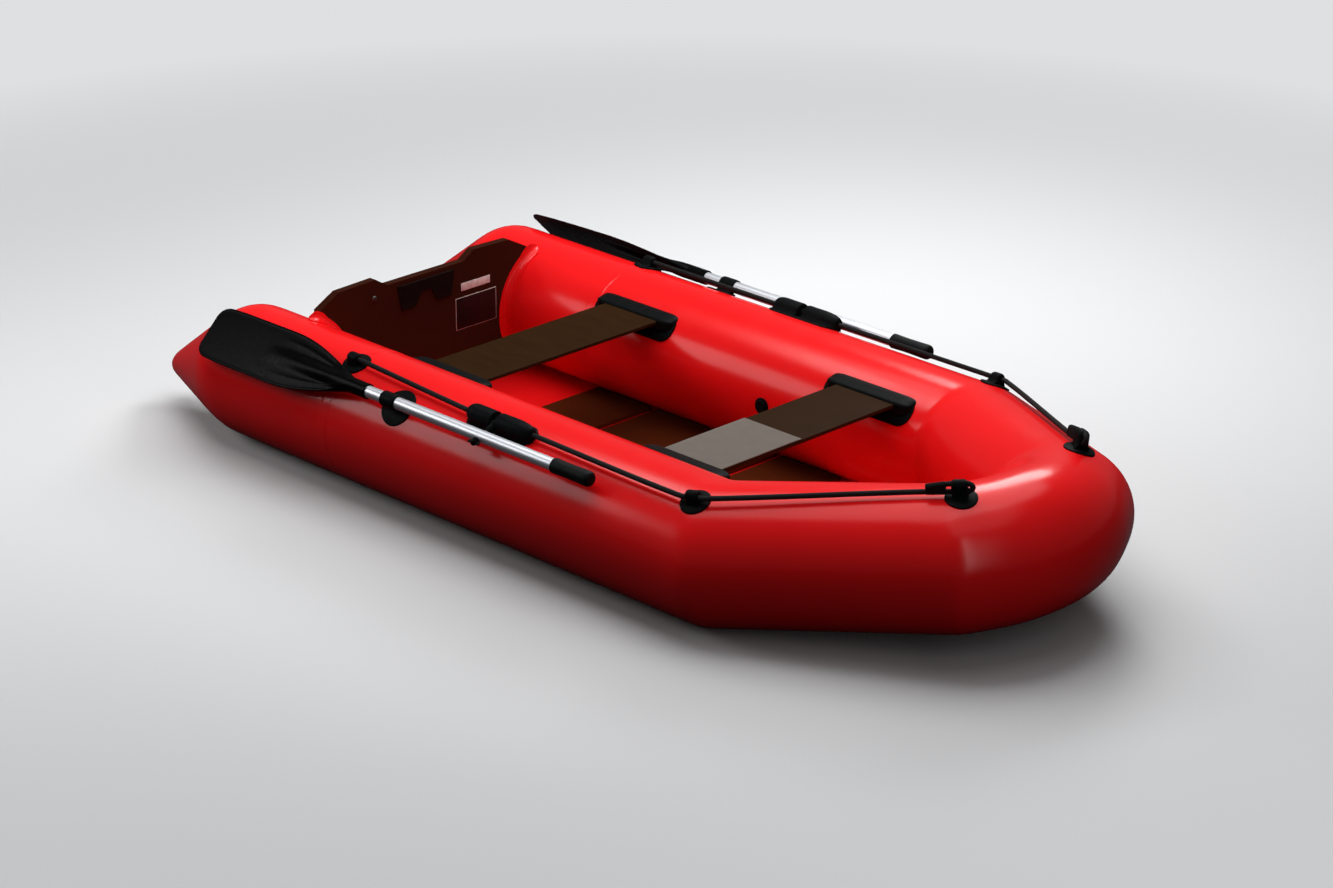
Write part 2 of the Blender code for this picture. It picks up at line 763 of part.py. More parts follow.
def seat_holder(name, x, side, material):
    """A glued rubber holder: a curved plate with a thick lip round the seat's end."""
    half_band = math.radians(HOLDER_HALF_BAND) * TUBE_RADIUS
    seat = side_seat(x, HOLDER_ANGLE, side)
    rows = rounded_rows(HOLDER_LENGTH / 2, half_band, 0.035)
    plate = skin_pad(name, seat, rows, HOLDER_PLATE, material)
    lip = holder_lip(name + "_lip", x, side, material)
    reach = Vector((HOLDER_LENGTH, 0, 0))
    axis_point = Vector((x, side * HALF_SPACING, TUBE_RADIUS))
    tube_room = cylinder(
        name + "_relief",
        axis_point - reach,
        axis_point + reach,
        TUBE_RADIUS + 2 * GAP,
        sides=180,
    )
    cut(lip, tube_room)
    join(plate, lip)
    depth = 0.2
    slot_size = (SEAT_WIDTH + 2 * GAP, depth, SEAT_THICK + 2 * GAP)
    slot_centre = (x, side * (SEAT_HALF_LENGTH + GAP - depth / 2), SEAT_TOP - SEAT_THICK / 2)
    cut(plate, box(name + "_slot", slot_centre, slot_size, None))
    return plate


def rope_eye(name, seat, lengths, material, blind=False):
    """A disc on the skin with a domed lug; the grab line runs through it, or ends in it if it is blind."""
    disc = skin_pad(name, seat, round_rows(EYE_DISC_RADIUS), EYE_DISC_THICK, material, base=-0.003)
    top = EYE_HOLE_HEIGHT
    foot = EYE_LUG_RADIUS + 0.0035
    outline = [(foot, 0.002)] + arc((0, top), EYE_LUG_RADIUS, 0, 180, 9) + [(-foot, 0.002)]
    half = EYE_LENGTH / 2
    lug = flat_piece(name + "_lug", [outline], seat.origin, seat.outboard, seat.away, half, material)
    add_bevel(lug, 0.006, 1)
    join(disc, lug)
    shape_on_tubes(disc, seat.side, lengths)
    start = EYE_END - half if blind else -0.05
    hole = cylinder(name + "_hole", seat.at(start, 0, top), seat.at(0.05, 0, top), EYE_HOLE_RADIUS, sides=20)
    cut(disc, hole)
    return disc


def bow_seat(side):
    """The place of the bow eye, on top of the bow corner, turned along the rope."""
    line = centreline(side)
    heading = (line[2] - line[1]).normalized()
    away = TubeBasis(heading, side).radial(BOW_EYE_ANGLE)
    above = line[2] + BOW_EYE_PAST_CORNER * heading + TUBE_TOP * away
    on_skin = skin_point(side, above, -away, 0)
    return Seat(side, on_skin, on_skin - shoulder_seat(side).origin, away)


def shoulder_seat(side):
    """The place of the eye at the shoulder, turned half way between the two runs of rope."""
    origin, basis = tube_place(SHOULDER_EYE[0], SHOULDER_EYE[1], side)
    away = basis.radial(SHOULDER_EYE[1])
    line = centreline(side)
    return Seat(side, origin, (line[2] - line[1]).normalized() + FORWARD, away)


def lock_axis(side):
    """A point on the oarlock's long pin."""
    basis = TubeBasis(FORWARD, side)
    centre = Vector((LOCK_X, side * HALF_SPACING, TUBE_RADIUS))
    return centre + (TUBE_RADIUS + LOCK_HEIGHT) * basis.radial(LOCK_ANGLE)


def oar_centre(side, x=LOCK_X):
    """The middle of the shaft: where the oar bolt crosses it, or at another place along it."""
    lock = lock_axis(side)
    outboard, up = OAR_FROM_LOCK
    return Vector((x, lock.y + side * outboard, lock.z + up))


def lump_places(inner, end, taper):
    """Places along a bearing housing and its share of the full section there; its outer end slopes off."""
    sign = 1 if end > inner else -1
    places = [(inner, 0.9), (inner + sign * 0.003, 1.0)]
    for angle in (0, 28, 56, 84):
        turn = math.radians(angle)
        share = LUMP_END + (1 - LUMP_END) * math.cos(turn)
        places.append((end - sign * taper * (1 - math.sin(turn)), share))
    return places


def oarlock_base(label, side, material):
    """The glued base with its two bearing housings and the rope's way through them."""
    name = f"{label}_oarlock_base"
    seat = side_seat((LUMP_SPAN[0] + LUMP_SPAN[1]) / 2 - 0.0025, LOCK_ANGLE, side)
    base = skin_pad(name, seat, rounded_rows(*LOCK_BASE_HALF, 0.022), LOCK_BASE_THICK, material)
    axis = lock_axis(side)
    foot = LUMP_RADIUS + 0.004
    outline = [(foot, 0.001)] + arc((0, LOCK_HEIGHT), LUMP_RADIUS, -12, 192, 9) + [(-foot, 0.001)]
    for number, sign in enumerate((-1, 1)):
        inner = LOCK_X + sign * (SWIVEL_HALF + GAP)
        rings = []
        for place, share in lump_places(inner, LUMP_SPAN[number], LUMP_TAPERS[number]):
            centre = seat.at(place - seat.origin.x, 0, 0)
            ring = [(u * share, LOCK_HEIGHT + (v - LOCK_HEIGHT) * share) for u, v in outline[1:-1]]
            ring = [(outline[0][0] * share, 0.001)] + ring + [(outline[-1][0] * share, 0.001)]
            rings.append([centre + u * seat.outboard + v * seat.away for u, v in ring])
        join(base, loft(f"{name}_housing_{number}", rings, material))
    reach = Vector((0.2, 0, 0))
    bore = cylinder(name + "_bore", axis - reach, axis + reach, TRUNNION_RADIUS + GAP, sides=20)
    cut(base, bore)
    width = SWIVEL_HALF + GAP
    way = Vector((width, 0, 0))
    relief = cylinder(name + "_relief", axis - way, axis + way, SWIVEL_BACK_RADIUS + GAP, sides=20)
    cut(base, relief)
    return base


def oarlock_swivel(label, side, material):
    """The collar that turns on the long pin, with hollow trunnions and a neck for the bolt."""
    name = f"{label}_oarlock_swivel"
    axis = lock_axis(side)
    reach = oar_centre(side) - axis
    direction = reach.normalized()
    outline = arc((0, 0), SWIVEL_RADIUS, -40, 130, 10) + arc((0, 0), SWIVEL_BACK_RADIUS, 140, 310, 7)
    turn = FORWARD.cross(direction) * side

    swivel = flat_piece(name, [outline], axis, direction, turn, SWIVEL_HALF, material)
    half_pin = Vector((TRUNNION_REACH, 0, 0))
    join(swivel, cylinder(name + "_pin", axis - half_pin, axis + half_pin, TRUNNION_RADIUS, material, 20))
    root = NECK_START + 0.0032
    basis = Matrix((FORWARD, direction, turn)).transposed()
    size = (2 * SWIVEL_HALF - 2 * GAP, root, 2 * SWIVEL_HALF - 2 * GAP)
    join(swivel, box(name + "_root", axis + root / 2 * direction, size, material, basis))
    tip = reach.length - SHAFT_RADIUS - NECK_CLEAR
    start = axis + NECK_START * direction
    join(swivel, cylinder(name + "_neck", start, axis + tip * direction, NECK_RADIUS, material, 20))
    far = Vector((0.1, 0, 0))
    cut(swivel, cylinder(name + "_rope_way", axis - far, axis + far, ROPE_RADIUS + 2 * GAP, sides=20))
    hole_start = axis + BOLT_START * direction
    hole_end = oar_centre(side)
    cut(swivel, cylinder(name + "_bolt_hole", hole_start, hole_end, BOLT_RADIUS + GAP, sides=20))
    return swivel


def oar_bolt(label, side, material):
    axis = lock_axis(side)
    reach = oar_centre(side) - axis
    start = BOLT_START + GAP
    end = reach.length + SHAFT_RADIUS + NUT_HEIGHT + 0.005
    profile = [(0, end), (0.0035, end), (BOLT_RADIUS, end - 0.0015), (BOLT_RADIUS, start), (0, start)]
    return turned(f"{label}_oar_bolt", profile, axis, reach, material)


def wing_nut(label, side, material):
    """The nut that clamps the oar on its bolt, with two rounded wings."""
    name = f"{label}_wing_nut"
    axis = lock_axis(side)
    reach = oar_centre(side) - axis
    direction = reach.normalized()
    seat = oar_centre(side) + (SHAFT_RADIUS + GAP) * direction
    profile = [
        (BOLT_RADIUS + GAP, NUT_HEIGHT),
        (BOLT_RADIUS + 0.003, NUT_HEIGHT),
        (BOLT_RADIUS + 0.0045, NUT_HEIGHT - 0.002),
        (BOLT_RADIUS + 0.0055, 0.0),
        (BOLT_RADIUS + GAP, 0.0),
    ]
    nut = turned(name, profile, seat, direction, material)
    for sign in (-1, 1):
        outline = arc((sign * 0.0155, 0.0095), 0.0062, 0, 330, 12)
        join(nut, flat_piece(f"{name}_wing_{sign}", [outline], seat, FORWARD, direction, 0.0027, material))
    through = 2 * NUT_HEIGHT * direction
    cut(nut, cylinder(name + "_core", seat - through, seat + through, BOLT_RADIUS + GAP, sides=20))
    return nut


def oar_shaft(label, side, material):
    """The aluminium tube, drilled through for the oar bolt."""
    start = oar_centre(side, SHAFT_SPAN[0])
    length = SHAFT_SPAN[1] - SHAFT_SPAN[0]
    bore = SHAFT_RADIUS - SHAFT_WALL
    profile = [(bore, length), (SHAFT_RADIUS, length), (SHAFT_RADIUS, 0), (bore, 0)]
    shaft = turned(f"{label}_oar_shaft", profile, start, FORWARD, material)
    axis = lock_axis(side)
    direction = (oar_centre(side) - axis).normalized()
    middle = oar_centre(side)
    through = 2 * SHAFT_RADIUS * direction
    hole = cylinder(f"{label}_shaft_hole", middle - through, middle + through, BOLT_RADIUS + GAP, sides=20)
    cut(shaft, hole)
    return shaft


def oar_grip(label, side, material):
    """A rubber handle that closes the shaft's end."""
    start = oar_centre(side, GRIP_START)
    length = GRIP_END - GRIP_START
    bore = SHAFT_RADIUS + GAP
    blind = SHAFT_SPAN[1] - GRIP_START + GAP
    corner = 0.010
    crown = [(r, length - corner + h) for r, h in arc((GRIP_RADIUS - corner, 0), corner, 90, 0, 4)]
    profile = [(0, length)] + crown
    profile += [(GRIP_RADIUS - 0.001, 0.05), (GRIP_RADIUS, 0.004), (GRIP_RADIUS - 0.001, 0), (bore, 0)]
    profile += [(bore, blind), (0, blind)]
    return turned(f"{label}_oar_grip", profile, start, FORWARD, material)


def blade_half_width(reach):
    """Half width of the blade at a distance from its tip, from the rounded end to the socket."""
    corner = 0.045
    length = SOCKET_MOUTH_X - BLADE_TIP_X
    width = BLADE_HALF_WIDTH
    if reach < corner:
        width *= 0.55 + 0.42 * math.sqrt(1 - (1 - reach / corner) ** 2)
    elif reach < 0.12:
        width *= 0.97 + 0.03 * math.sin(math.pi / 2 * (reach - corner) / (0.12 - corner))
    taper = (length - 0.07 - reach) / 0.30
    if taper < 1:
        swell = math.sin(math.pi / 2 * max(0.0, taper)) ** 1.1
        width = SOCKET_RADIUS + (BLADE_HALF_WIDTH - SOCKET_RADIUS) * swell
    return width


def blade_section(reach):
    """Half thickness of the plate and height of the spine at a distance from the tip."""
    length = SOCKET_MOUTH_X - BLADE_TIP_X
    to_socket = (length - 0.07 - reach) / 0.10
    blend = min(1.0, max(0.0, to_socket))
    plate = SOCKET_RADIUS + (0.0028 - SOCKET_RADIUS) * blend
    spine = (SOCKET_RADIUS - 0.004) * max(0.0, min(1.0, (reach - 0.28) / 0.33)) * blend
    return plate, spine


def oar_blade(label, side, material):
    """The moulded blade: a thin plate with a tapered spine that swells into the socket."""
    name = f"{label}_oar_blade"
    away = TubeBasis(FORWARD, side).radial(BLADE_TILT)
    across = -side * FORWARD.cross(away)
    reaches = [0.0, 0.008, 0.022, 0.045, 0.10, 0.20, 0.30, 0.38, 0.46, 0.52, 0.57, 0.61, 0.63]
    reaches.append(SOCKET_MOUTH_X - BLADE_TIP_X)
    steps = 24
    rings = []
    for reach in reaches:
        width = blade_half_width(reach)
        plate, spine = blade_section(reach)
        bow = -0.010 * max(0.0, 1 - reach / 0.5) ** 2
        centre = oar_centre(side, BLADE_TIP_X + reach) + bow * away
        ring = []
        for i in range(steps):
            angle = 2 * math.pi * i / steps
            c = width * math.cos(angle)
            sign = 1 if math.sin(angle) > 0 else -1
            rib = spine * max(0.0, 1 - (c / 0.026) ** 2) ** 1.5
            h = plate * math.sin(angle) + sign * rib * min(1.0, abs(math.sin(angle)) * 3)
            ring.append(centre + c * across + h * away)
        rings.append(ring)
    blade = loft(name, rings, material, smooth_angle=50)
    start = oar_centre(side, SHAFT_SPAN[0] - GAP)
    end = oar_centre(side, SOCKET_MOUTH_X + 0.05)
    cut(blade, cylinder(name + "_socket", start, end, SHAFT_RADIUS + GAP, sides=20))
    return blade


def oar_from_tube(side):
    """The way from the side tube's axis to the oar's, square to both."""
    return oar_centre(side, CLIP_X) - Vector((CLIP_X, side * HALF_SPACING, TUBE_RADIUS))


def clip_angle(side):
    """The angle round the tube at which the oar lies over it."""
    way = oar_from_tube(side)
    return math.degrees(math.atan2(side * way.y, way.z))


def clip_band_outer():
    """The clip band's outer radius."""
    return SHAFT_RADIUS + GAP + CLIP_BAND_THICK


def oar_clip_base(label, side, material):
    """The glued disc, and the short post whose top is hollowed to seat the clip band."""
    name = f"{label}_oar_clip_base"
    seat = side_seat(CLIP_X, clip_angle(side), side)
    disc = skin_pad(name, seat, round_rows(CLIP_DISC_RADIUS, 11), CLIP_DISC_THICK, material)
    start = CLIP_DISC_THICK / 2
    band_room = clip_band_outer() + GAP
    end = oar_from_tube(side).length - TUBE_RADIUS - band_room + CLIP_SADDLE
    size = (2 * CLIP_BAND_HALF, CLIP_POST_WIDTH, end - start)
    basis = Matrix((seat.along, seat.outboard, seat.away)).transposed()
    post = box(name + "_post", seat.at(0, 0, (start + end) / 2), size, material, basis)
    add_bevel(post, 0.002)
    middle = oar_centre(side, CLIP_X)
    reach = 2 * CLIP_BAND_HALF * FORWARD
    cut(post, cylinder(name + "_saddle", middle - reach, middle + reach, band_room, sides=72))
    join(disc, post)
    return disc


def oar_clip_band(label, side, material):
    """The springy band that holds the shaft, open on its lower side."""
    away = oar_from_tube(side).normalized()
    inboard = side * FORWARD.cross(away)
    start, end = CLIP_BAND_SPAN
    outline = arc((0, 0), clip_band_outer(), start, end, 24)
    outline += arc((0, 0), SHAFT_RADIUS + GAP, end, start, 24)
    name = f"{label}_oar_clip_band"
    return flat_piece(name, [outline], oar_centre(side, CLIP_X), inboard, away, CLIP_BAND_HALF, material)


def valve_body(label, side, material):
    """The valve's flange and barrel, with a seat for the plunger at the bottom."""
    origin, basis = tube_place(VALVE_X, VALVE_ANGLE, side)
    bore = VALVE_BARREL_RADIUS - VALVE_WALL
    profile = [
        (bore, 0.0042),
        (VALVE_FLANGE_RADIUS - 0.003, 0.0042),
        (VALVE_FLANGE_RADIUS, 0.0012),
        (VALVE_FLANGE_RADIUS, 0.0004),
        (VALVE_BARREL_RADIUS, 0.0004),
        (VALVE_BARREL_RADIUS, -VALVE_DEPTH),
        (bore / 2, -VALVE_DEPTH),
        (bore / 2, 0.002 - VALVE_DEPTH),
        (bore, 0.002 - VALVE_DEPTH),
    ]
    return turned(f"{label}_valve_body", profile, origin, basis.radial(VALVE_ANGLE), material)


def valve_plunger(label, side, material):
    """The sprung disc that shuts the barrel from inside, with its stem."""
    origin, basis = tube_place(VALVE_X, VALVE_ANGLE, side)
    disc = VALVE_BARREL_RADIUS - VALVE_WALL - 0.002
    top = -VALVE_DEPTH - GAP
    stem = [(0, -0.004), (0.0022, -0.004), (0.0022, top)]
    profile = stem + [(disc, top), (disc, top - 0.0022), (0, top - 0.0022)]
    return turned(f"{label}_valve_plunger", profile, origin, basis.radial(VALVE_ANGLE), material)


def valve_cap(label, side, material):
    """The quarter-turn cap, notched round its rim for the fingers."""
    origin, basis = tube_place(VALVE_X, VALVE_ANGLE, side)
    axis = basis.radial(VALVE_ANGLE)
    skirt = VALVE_BARREL_RADIUS - VALVE_WALL - GAP
    under = 0.0042 + GAP
    profile = [
        (0, 0.0092),
        (CAP_RADIUS - 0.002, 0.0092),
        (CAP_RADIUS, 0.0078),
        (CAP_RADIUS, under),
        (skirt, under),
        (skirt, -0.003),
        (skirt - 0.002, -0.003),
        (skirt - 0.002, 0.006),
        (0, 0.006),
    ]
    cap = turned(f"{label}_valve_cap", profile, origin, axis, material)
    notches = 6
    for number in range(notches):
        spoke = Matrix.Rotation(math.tau * number / notches, 3, axis) @ FORWARD
        start = origin + 0.0048 * axis + (CAP_RADIUS + 0.0007) * spoke
        cut(cap, cylinder(f"{label}_cap_notch_{number}", start, start + 0.007 * axis, 0.0022, sides=8))
    return cap


def smooth_route(points, spacing):
    """Points read at a spacing from a smooth curve through the route's own points."""
    ends = [2 * points[0] - points[1]] + points + [2 * points[-1] - points[-2]]
    route = []
    for i in range(1, len(ends) - 2):
        p0, p1, p2, p3 = ends[i - 1:i + 3]
        count = max(1, round((p2 - p1).length / spacing))
        scale = (p2 - p1).length
        m1 = (p2 - p0).normalized() * scale
        m2 = (p3 - p1).normalized() * scale
        for k in range(count):
            t = k / count
            a = 2 * t ** 3 - 3 * t ** 2 + 1
            b = t ** 3 - 2 * t ** 2 + t
            c = 3 * t ** 2 - 2 * t ** 3
            d = t ** 3 - t ** 2
            route.append(a * p1 + b * m1 + c * p2 + d * m2)
    route.append(points[-1])
    return route


def rope_route(side):
    """The grab line's own points: stern eye, oarlock, shoulder eye, then round the bow eye."""
    stern = side_seat(STERN_EYE[0], STERN_EYE[1], side)
    shoulder = shoulder_seat(side)
    bow = bow_seat(side)
    lock = lock_axis(side)
    height = EYE_HOLE_HEIGHT
    over = EYE_LUG_RADIUS + ROPE_RADIUS + 0.0012
    points = [
        stern.at(EYE_END + GAP - EYE_LENGTH / 2, 0, height),
        stern.at(0, 0, height),
        stern.at(EYE_LENGTH / 2, 0, height),
        lock + Vector((-0.13, 0, 0)),
        lock + Vector((-0.08, 0, 0)),
        lock + Vector((0.1, 0, 0)),
        lock + Vector((0.15, 0, 0)),
        shoulder.at(-0.035, 0.0045, height),
        shoulder.at(0, 0, height),
        shoulder.at(0.035, 0.0045, height),
        bow.at(-0.12, 0.0, height),
        bow.at(-0.02, 0, height),
        bow.at(0.0195, 0, height),
        bow.at(0.0335, 0, height + over / 2),
        bow.at(0.0195, 0, height + over),
        bow.at(-0.012, 0, height + over),
        bow.at(-0.045, 0, height + 0.55 * over + ROPE_RADIUS),
        bow.at(-0.085, 0, height + 2 * ROPE_RADIUS + 0.001),
    ]
    return points


def grab_line(label, side, material):
    """One rope in a single run, held by its three eyes and the oarlock's hollow pin."""
    points = rope_route(side)
    head = smooth_route(points[:11], 0.0375)
    tail = smooth_route(points[10:], 0.011)
    route = head + tail[1:]
    curve = bpy.data.curves.new(f"{label}_grab_line", "CURVE")
    curve.dimensions = "3D"
    curve.bevel_depth = ROPE_RADIUS
    curve.bevel_resolution = 2
    curve.use_fill_caps = True
    spline = curve.splines.new("POLY")
    spline.points.add(len(route) - 1)
    for target, point in zip(spline.points, route):
        target.co = (*point, 1)
    curve.materials.append(material)
    obj = bpy.data.objects.new(f"{label}_grab_line", curve)
    PARTS.objects.link(obj)
    return obj


def hold_on_joint(name, axis_point, pieces):
    """Parent pieces to an empty that stands on their joint's axis."""
    empty = bpy.data.objects.new(name, None)
    empty.location = axis_point
    PARTS.objects.link(empty)
    bpy.context.view_layer.update()
    for piece in pieces:
        world = piece.matrix_world.copy()
        piece.parent = empty
        piece.matrix_parent_inverse = empty.matrix_world.inverted()
        piece.matrix_world = world


def build_tubes(red):
    for label, side in SIDES:
        stern_tube(label, side, red)
        side_tube = tube_length(f"{label}_side_tube", side, 0, red)
        valve_hole(label, side, side_tube)
        tube_length(f"{label}_bow_tube", side, 1, red)
    bow_front_tube(red)
    bow_baffle(red)


def build_floor_and_transom(red):
    sheet_red = floor_red()
    floor_sheet(sheet_red)
    bow_floor_sheet(sheet_red)
    brown = floorboard_wood()
    for number in range(FLOORBOARDS):
        floorboard(number, brown)
    transom_board(transom_wood())
    transom_clamp_pad(clamp_rubber())
    steel = bolt_steel()
    transom_bolt(steel)
    transom_nut(steel)
    for label, side in SIDES:
        transom_flange(label, side, red)


def build_seats(rubber):
    olive = seat_wood()
    seat_board("aft_seat_board", -SEAT_X, olive)
    seat_board("front_seat_board", SEAT_X, olive)
    seat_pad(pad_foam())
    for label, side in SIDES:
        seat_holder(f"{label}_aft_seat_holder", -SEAT_X, side, rubber)
        seat_holder(f"{label}_front_seat_holder", SEAT_X, side, rubber)


def build_lines(rubber):
    rope = rope_black()
    for label, side in SIDES:
        rope_eye(f"{label}_stern_eye", side_seat(STERN_EYE[0], STERN_EYE[1], side), (0,), rubber, True)
        rope_eye(f"{label}_shoulder_eye", shoulder_seat(side), (0, 1), rubber)
        rope_eye(f"{label}_bow_eye", bow_seat(side), (1, 2), rubber)
        grab_line(label, side, rope)


def build_oars(rubber):
    steel = bolt_steel()
    aluminium = shaft_aluminium()
    plastic = blade_plastic()
    handle = grip_rubber()
    for label, side in SIDES:
        oarlock_base(label, side, rubber)
        swivel = oarlock_swivel(label, side, rubber)
        bolt = oar_bolt(label, side, steel)
        nut = wing_nut(label, side, plastic)
        shaft = oar_shaft(label, side, aluminium)
        blade = oar_blade(label, side, plastic)
        grip = oar_grip(label, side, handle)
        oar_clip_base(label, side, rubber)
        oar_clip_band(label, side, rubber)
        hold_on_joint(f"{label}_oar_lift_axis", lock_axis(side), [swivel, bolt, nut, shaft, blade, grip])


def build_valves(rubber):
    plastic = blade_plastic()
    for label, side in SIDES:
        valve_body(label, side, rubber)
        valve_plunger(label, side, plastic)
        valve_cap(label, side, rubber)


clear_scene()
PARTS = new_collection("inflatable_fishing_boat")
CUTTERS = new_collection("cutters")
RED = hull_red()
RUBBER = fitting_rubber()
build_tubes(RED)
build_floor_and_transom(RED)
build_seats(RUBBER)
build_lines(RUBBER)
build_oars(RUBBER)
build_valves(RUBBER)
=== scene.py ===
import math
import bpy
import numpy as np
from mathutils import Matrix, Quaternion, Vector
from mathutils.bvhtree import BVHTree


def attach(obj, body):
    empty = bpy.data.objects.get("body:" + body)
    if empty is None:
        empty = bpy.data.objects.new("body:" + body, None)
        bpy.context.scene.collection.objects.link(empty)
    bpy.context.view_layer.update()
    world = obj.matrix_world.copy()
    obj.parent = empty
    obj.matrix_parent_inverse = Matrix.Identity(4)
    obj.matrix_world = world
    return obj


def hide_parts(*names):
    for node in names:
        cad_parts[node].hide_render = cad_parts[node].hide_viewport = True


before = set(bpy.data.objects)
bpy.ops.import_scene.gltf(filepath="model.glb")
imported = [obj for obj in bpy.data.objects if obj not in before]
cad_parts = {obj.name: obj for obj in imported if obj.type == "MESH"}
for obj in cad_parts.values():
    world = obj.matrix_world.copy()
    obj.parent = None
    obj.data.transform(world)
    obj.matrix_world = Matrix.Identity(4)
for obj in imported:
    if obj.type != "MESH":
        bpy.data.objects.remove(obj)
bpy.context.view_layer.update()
print("frame loaded,", len(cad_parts), "nodes")

# metres; +X towards the bow, +Y to port, +Z up
# pieces are made on the starboard side, then copied across
forward = Vector((1, 0, 0))
upward = Vector((0, 0, 1))
sides = {"starboard": -1, "port": 1}

# the photograph's camera, fitted to the boat's parallel edges
camera = {
    "place": (7.0454, -6.9814, 4.1793),
    "aim": (-0.2418, 0.2664, 0.0),
    "roll": 0.104,
    "lens": 104.37,
    "sensor": 36.0,
    "far": 200,
}
bpy.ops.object.camera_add(location=camera["place"])
view = bpy.context.object
view.name = "photoCamera"
look = (Vector(camera["aim"]) - Vector(camera["place"])).to_track_quat("-Z", "Y")
view.rotation_euler = (look @ Quaternion((0, 0, 1), math.radians(camera["roll"]))).to_euler()
view.data.sensor_fit = "HORIZONTAL"
view.data.sensor_width = camera["sensor"]
view.data.lens = camera["lens"]
view.data.clip_end = camera["far"]
bpy.context.scene.camera = view
print("camera set")


class Wire:
    # a shader socket that sums can be written with
    def __init__(self, nodes, socket):
        self.nodes = nodes
        self.socket = socket

    def maths(self, operation, first, second=0.0):
        return self.nodes.node("ShaderNodeMath", {"operation": operation}, (first, second))

    def __add__(self, other):
        return self.maths("ADD", self, other)

    def __radd__(self, other):
        return self.maths("ADD", other, self)

    def __sub__(self, other):
        return self.maths("SUBTRACT", self, other)

    def __rsub__(self, other):
        return self.maths("SUBTRACT", other, self)

    def __mul__(self, other):
        return self.maths("MULTIPLY", self, other)

    def __rmul__(self, other):
        return self.maths("MULTIPLY", other, self)

    def __abs__(self):
        return self.maths("ABSOLUTE", self)

    def sine(self):
        return self.maths("SINE", self)


class Nodes:
    # the nodes of a material or a world, round the shader that it starts with
    def __init__(self, owner, shader):
        self.data = owner
        self.data.use_nodes = True
        self.tree = owner.node_tree
        self.shader = self.tree.nodes[shader]

    def node(self, kind, settings=None, values=(), out=0):
        # values fill the sockets by number or name: a wire is linked, anything else is set
        made = self.tree.nodes.new(kind)
        for key, value in (settings or {}).items():
            setattr(made, key, value)
        for key, value in values.items() if isinstance(values, dict) else enumerate(values):
            if isinstance(value, Wire):
                self.tree.links.new(value.socket, made.inputs[key])
            else:
                made.inputs[key].default_value = value
        return Wire(self, made.outputs[out])

    def spread(self, value, low, high, first=0.0, last=1.0):
        return self.node("ShaderNodeMapRange", {"clamp": True}, (value, low, high, first, last))

    def feed(self, socket, wire):
        self.tree.links.new(wire.socket, self.shader.inputs[socket])


class Finish(Nodes):
    # a material; plain values are set on its shader's own sockets
    def __init__(self, name, **sockets):
        super().__init__(bpy.data.materials.new(name), "Principled BSDF")
        for socket, value in sockets.items():
            self.shader.inputs[socket.replace("_", " ")].default_value = value

    def place(self, scale=(1, 1, 1), turn=(0, 0, 0), of="Object"):
        where = self.node("ShaderNodeTexCoord", out=of)
        return self.node("ShaderNodeMapping", {}, {"Vector": where, "Scale": scale, "Rotation": turn})

    def axis(self, name, of="Object"):
        return self.node("ShaderNodeSeparateXYZ", {}, (self.place(of=of),), name)

    def noise(self, scale, detail, roughness=0.5, at=None):
        facts = {"Vector": at or self.place(), "Scale": scale, "Detail": detail, "Roughness": roughness}
        return self.node("ShaderNodeTexNoise", {}, facts)

    def cloud(self, scale, detail, first=0.0, last=1.0):
        # soft patches that run from the first value to the last
        return self.spread(self.noise(scale, detail), 0.3, 0.7, first, last)

    def blend(self, share, *colours):
        # the Mix node's colour sockets go by number
        first, second = (c if isinstance(c, Wire) else (*c, 1.0) for c in colours)
        return self.node("ShaderNodeMix", {"data_type": "RGBA"}, {0: share, 6: first, 7: second}, 2)

    def bump(self, height, distance, strength):
        facts = {"Height": height, "Distance": distance, "Strength": strength}
        return self.node("ShaderNodeBump", {}, facts)


def shade(colour, share, lift=0.0):
    return [c * share + lift for c in colour]


fabric = {
    "patches": 3.0,
    "mottle": 14.0,
    "roughness": (0.18, 0.225),
    "slack": 2.2,
    "slackDepth": 0.003,
}


def coatedFabric(name, colour, dark, gloss):
    # a smooth coat over woven fabric, with slow waves of slack
    skin = Finish(name, Specular_IOR_Level=gloss)
    skin.feed("Base Color", skin.blend(skin.cloud(fabric["patches"], 3.0), colour, dark))
    skin.feed("Roughness", skin.cloud(fabric["mottle"], 4.0, *fabric["roughness"]))
    skin.feed("Normal", skin.bump(skin.noise(fabric["slack"], 1.0), fabric["slackDepth"], 0.3))
    return skin.data


moulding = {"shade": 60.0, "sheen": 90.0, "grain": 1400.0}


def mouldedRubber(name, colour, roughness, depth, gloss):
    rubber = Finish(name, Specular_IOR_Level=gloss)
    patches = rubber.cloud(moulding["shade"], 3.0)
    rubber.feed("Base Color", rubber.blend(patches, colour, shade(colour, 1.4, 0.001)))
    rubber.feed("Roughness", rubber.cloud(moulding["sheen"], 3.0, roughness - 0.04, roughness + 0.06))
    rubber.feed("Normal", rubber.bump(rubber.noise(moulding["grain"], 2.0), depth, 0.4))
    return rubber.data


braid = {
    "around": 8,
    "along": 420,
    "depth": 0.0009,
    # dark is painted shade in the grooves between the strands, light is painted light on the strands' crowns
    "dark": (0.0012, 0.0012, 0.0015),
    "light": (0.005, 0.0052, 0.0058),
}


def braidedRope(name):
    # the rope's own UV: x runs round it, y along it, in whole stitches
    cord = Finish(name, Specular_IOR_Level=0.2, Roughness=0.72)
    around = cord.axis("X", of="UV") * braid["around"]
    along = cord.axis("Y", of="UV") * braid["along"]
    left = ((around + along) * math.tau).sine()
    right = ((around - along) * math.tau).sine()
    stitch = left.maths("MAXIMUM", left, right)
    # the colour follows the stitch's height: painted shade in the grooves, painted light on the crowns
    cord.feed("Base Color", cord.blend(cord.spread(stitch, 0.0, 1.0), braid["dark"], braid["light"]))
    cord.feed("Normal", cord.bump(stitch, braid["depth"], 0.8))
    return cord.data


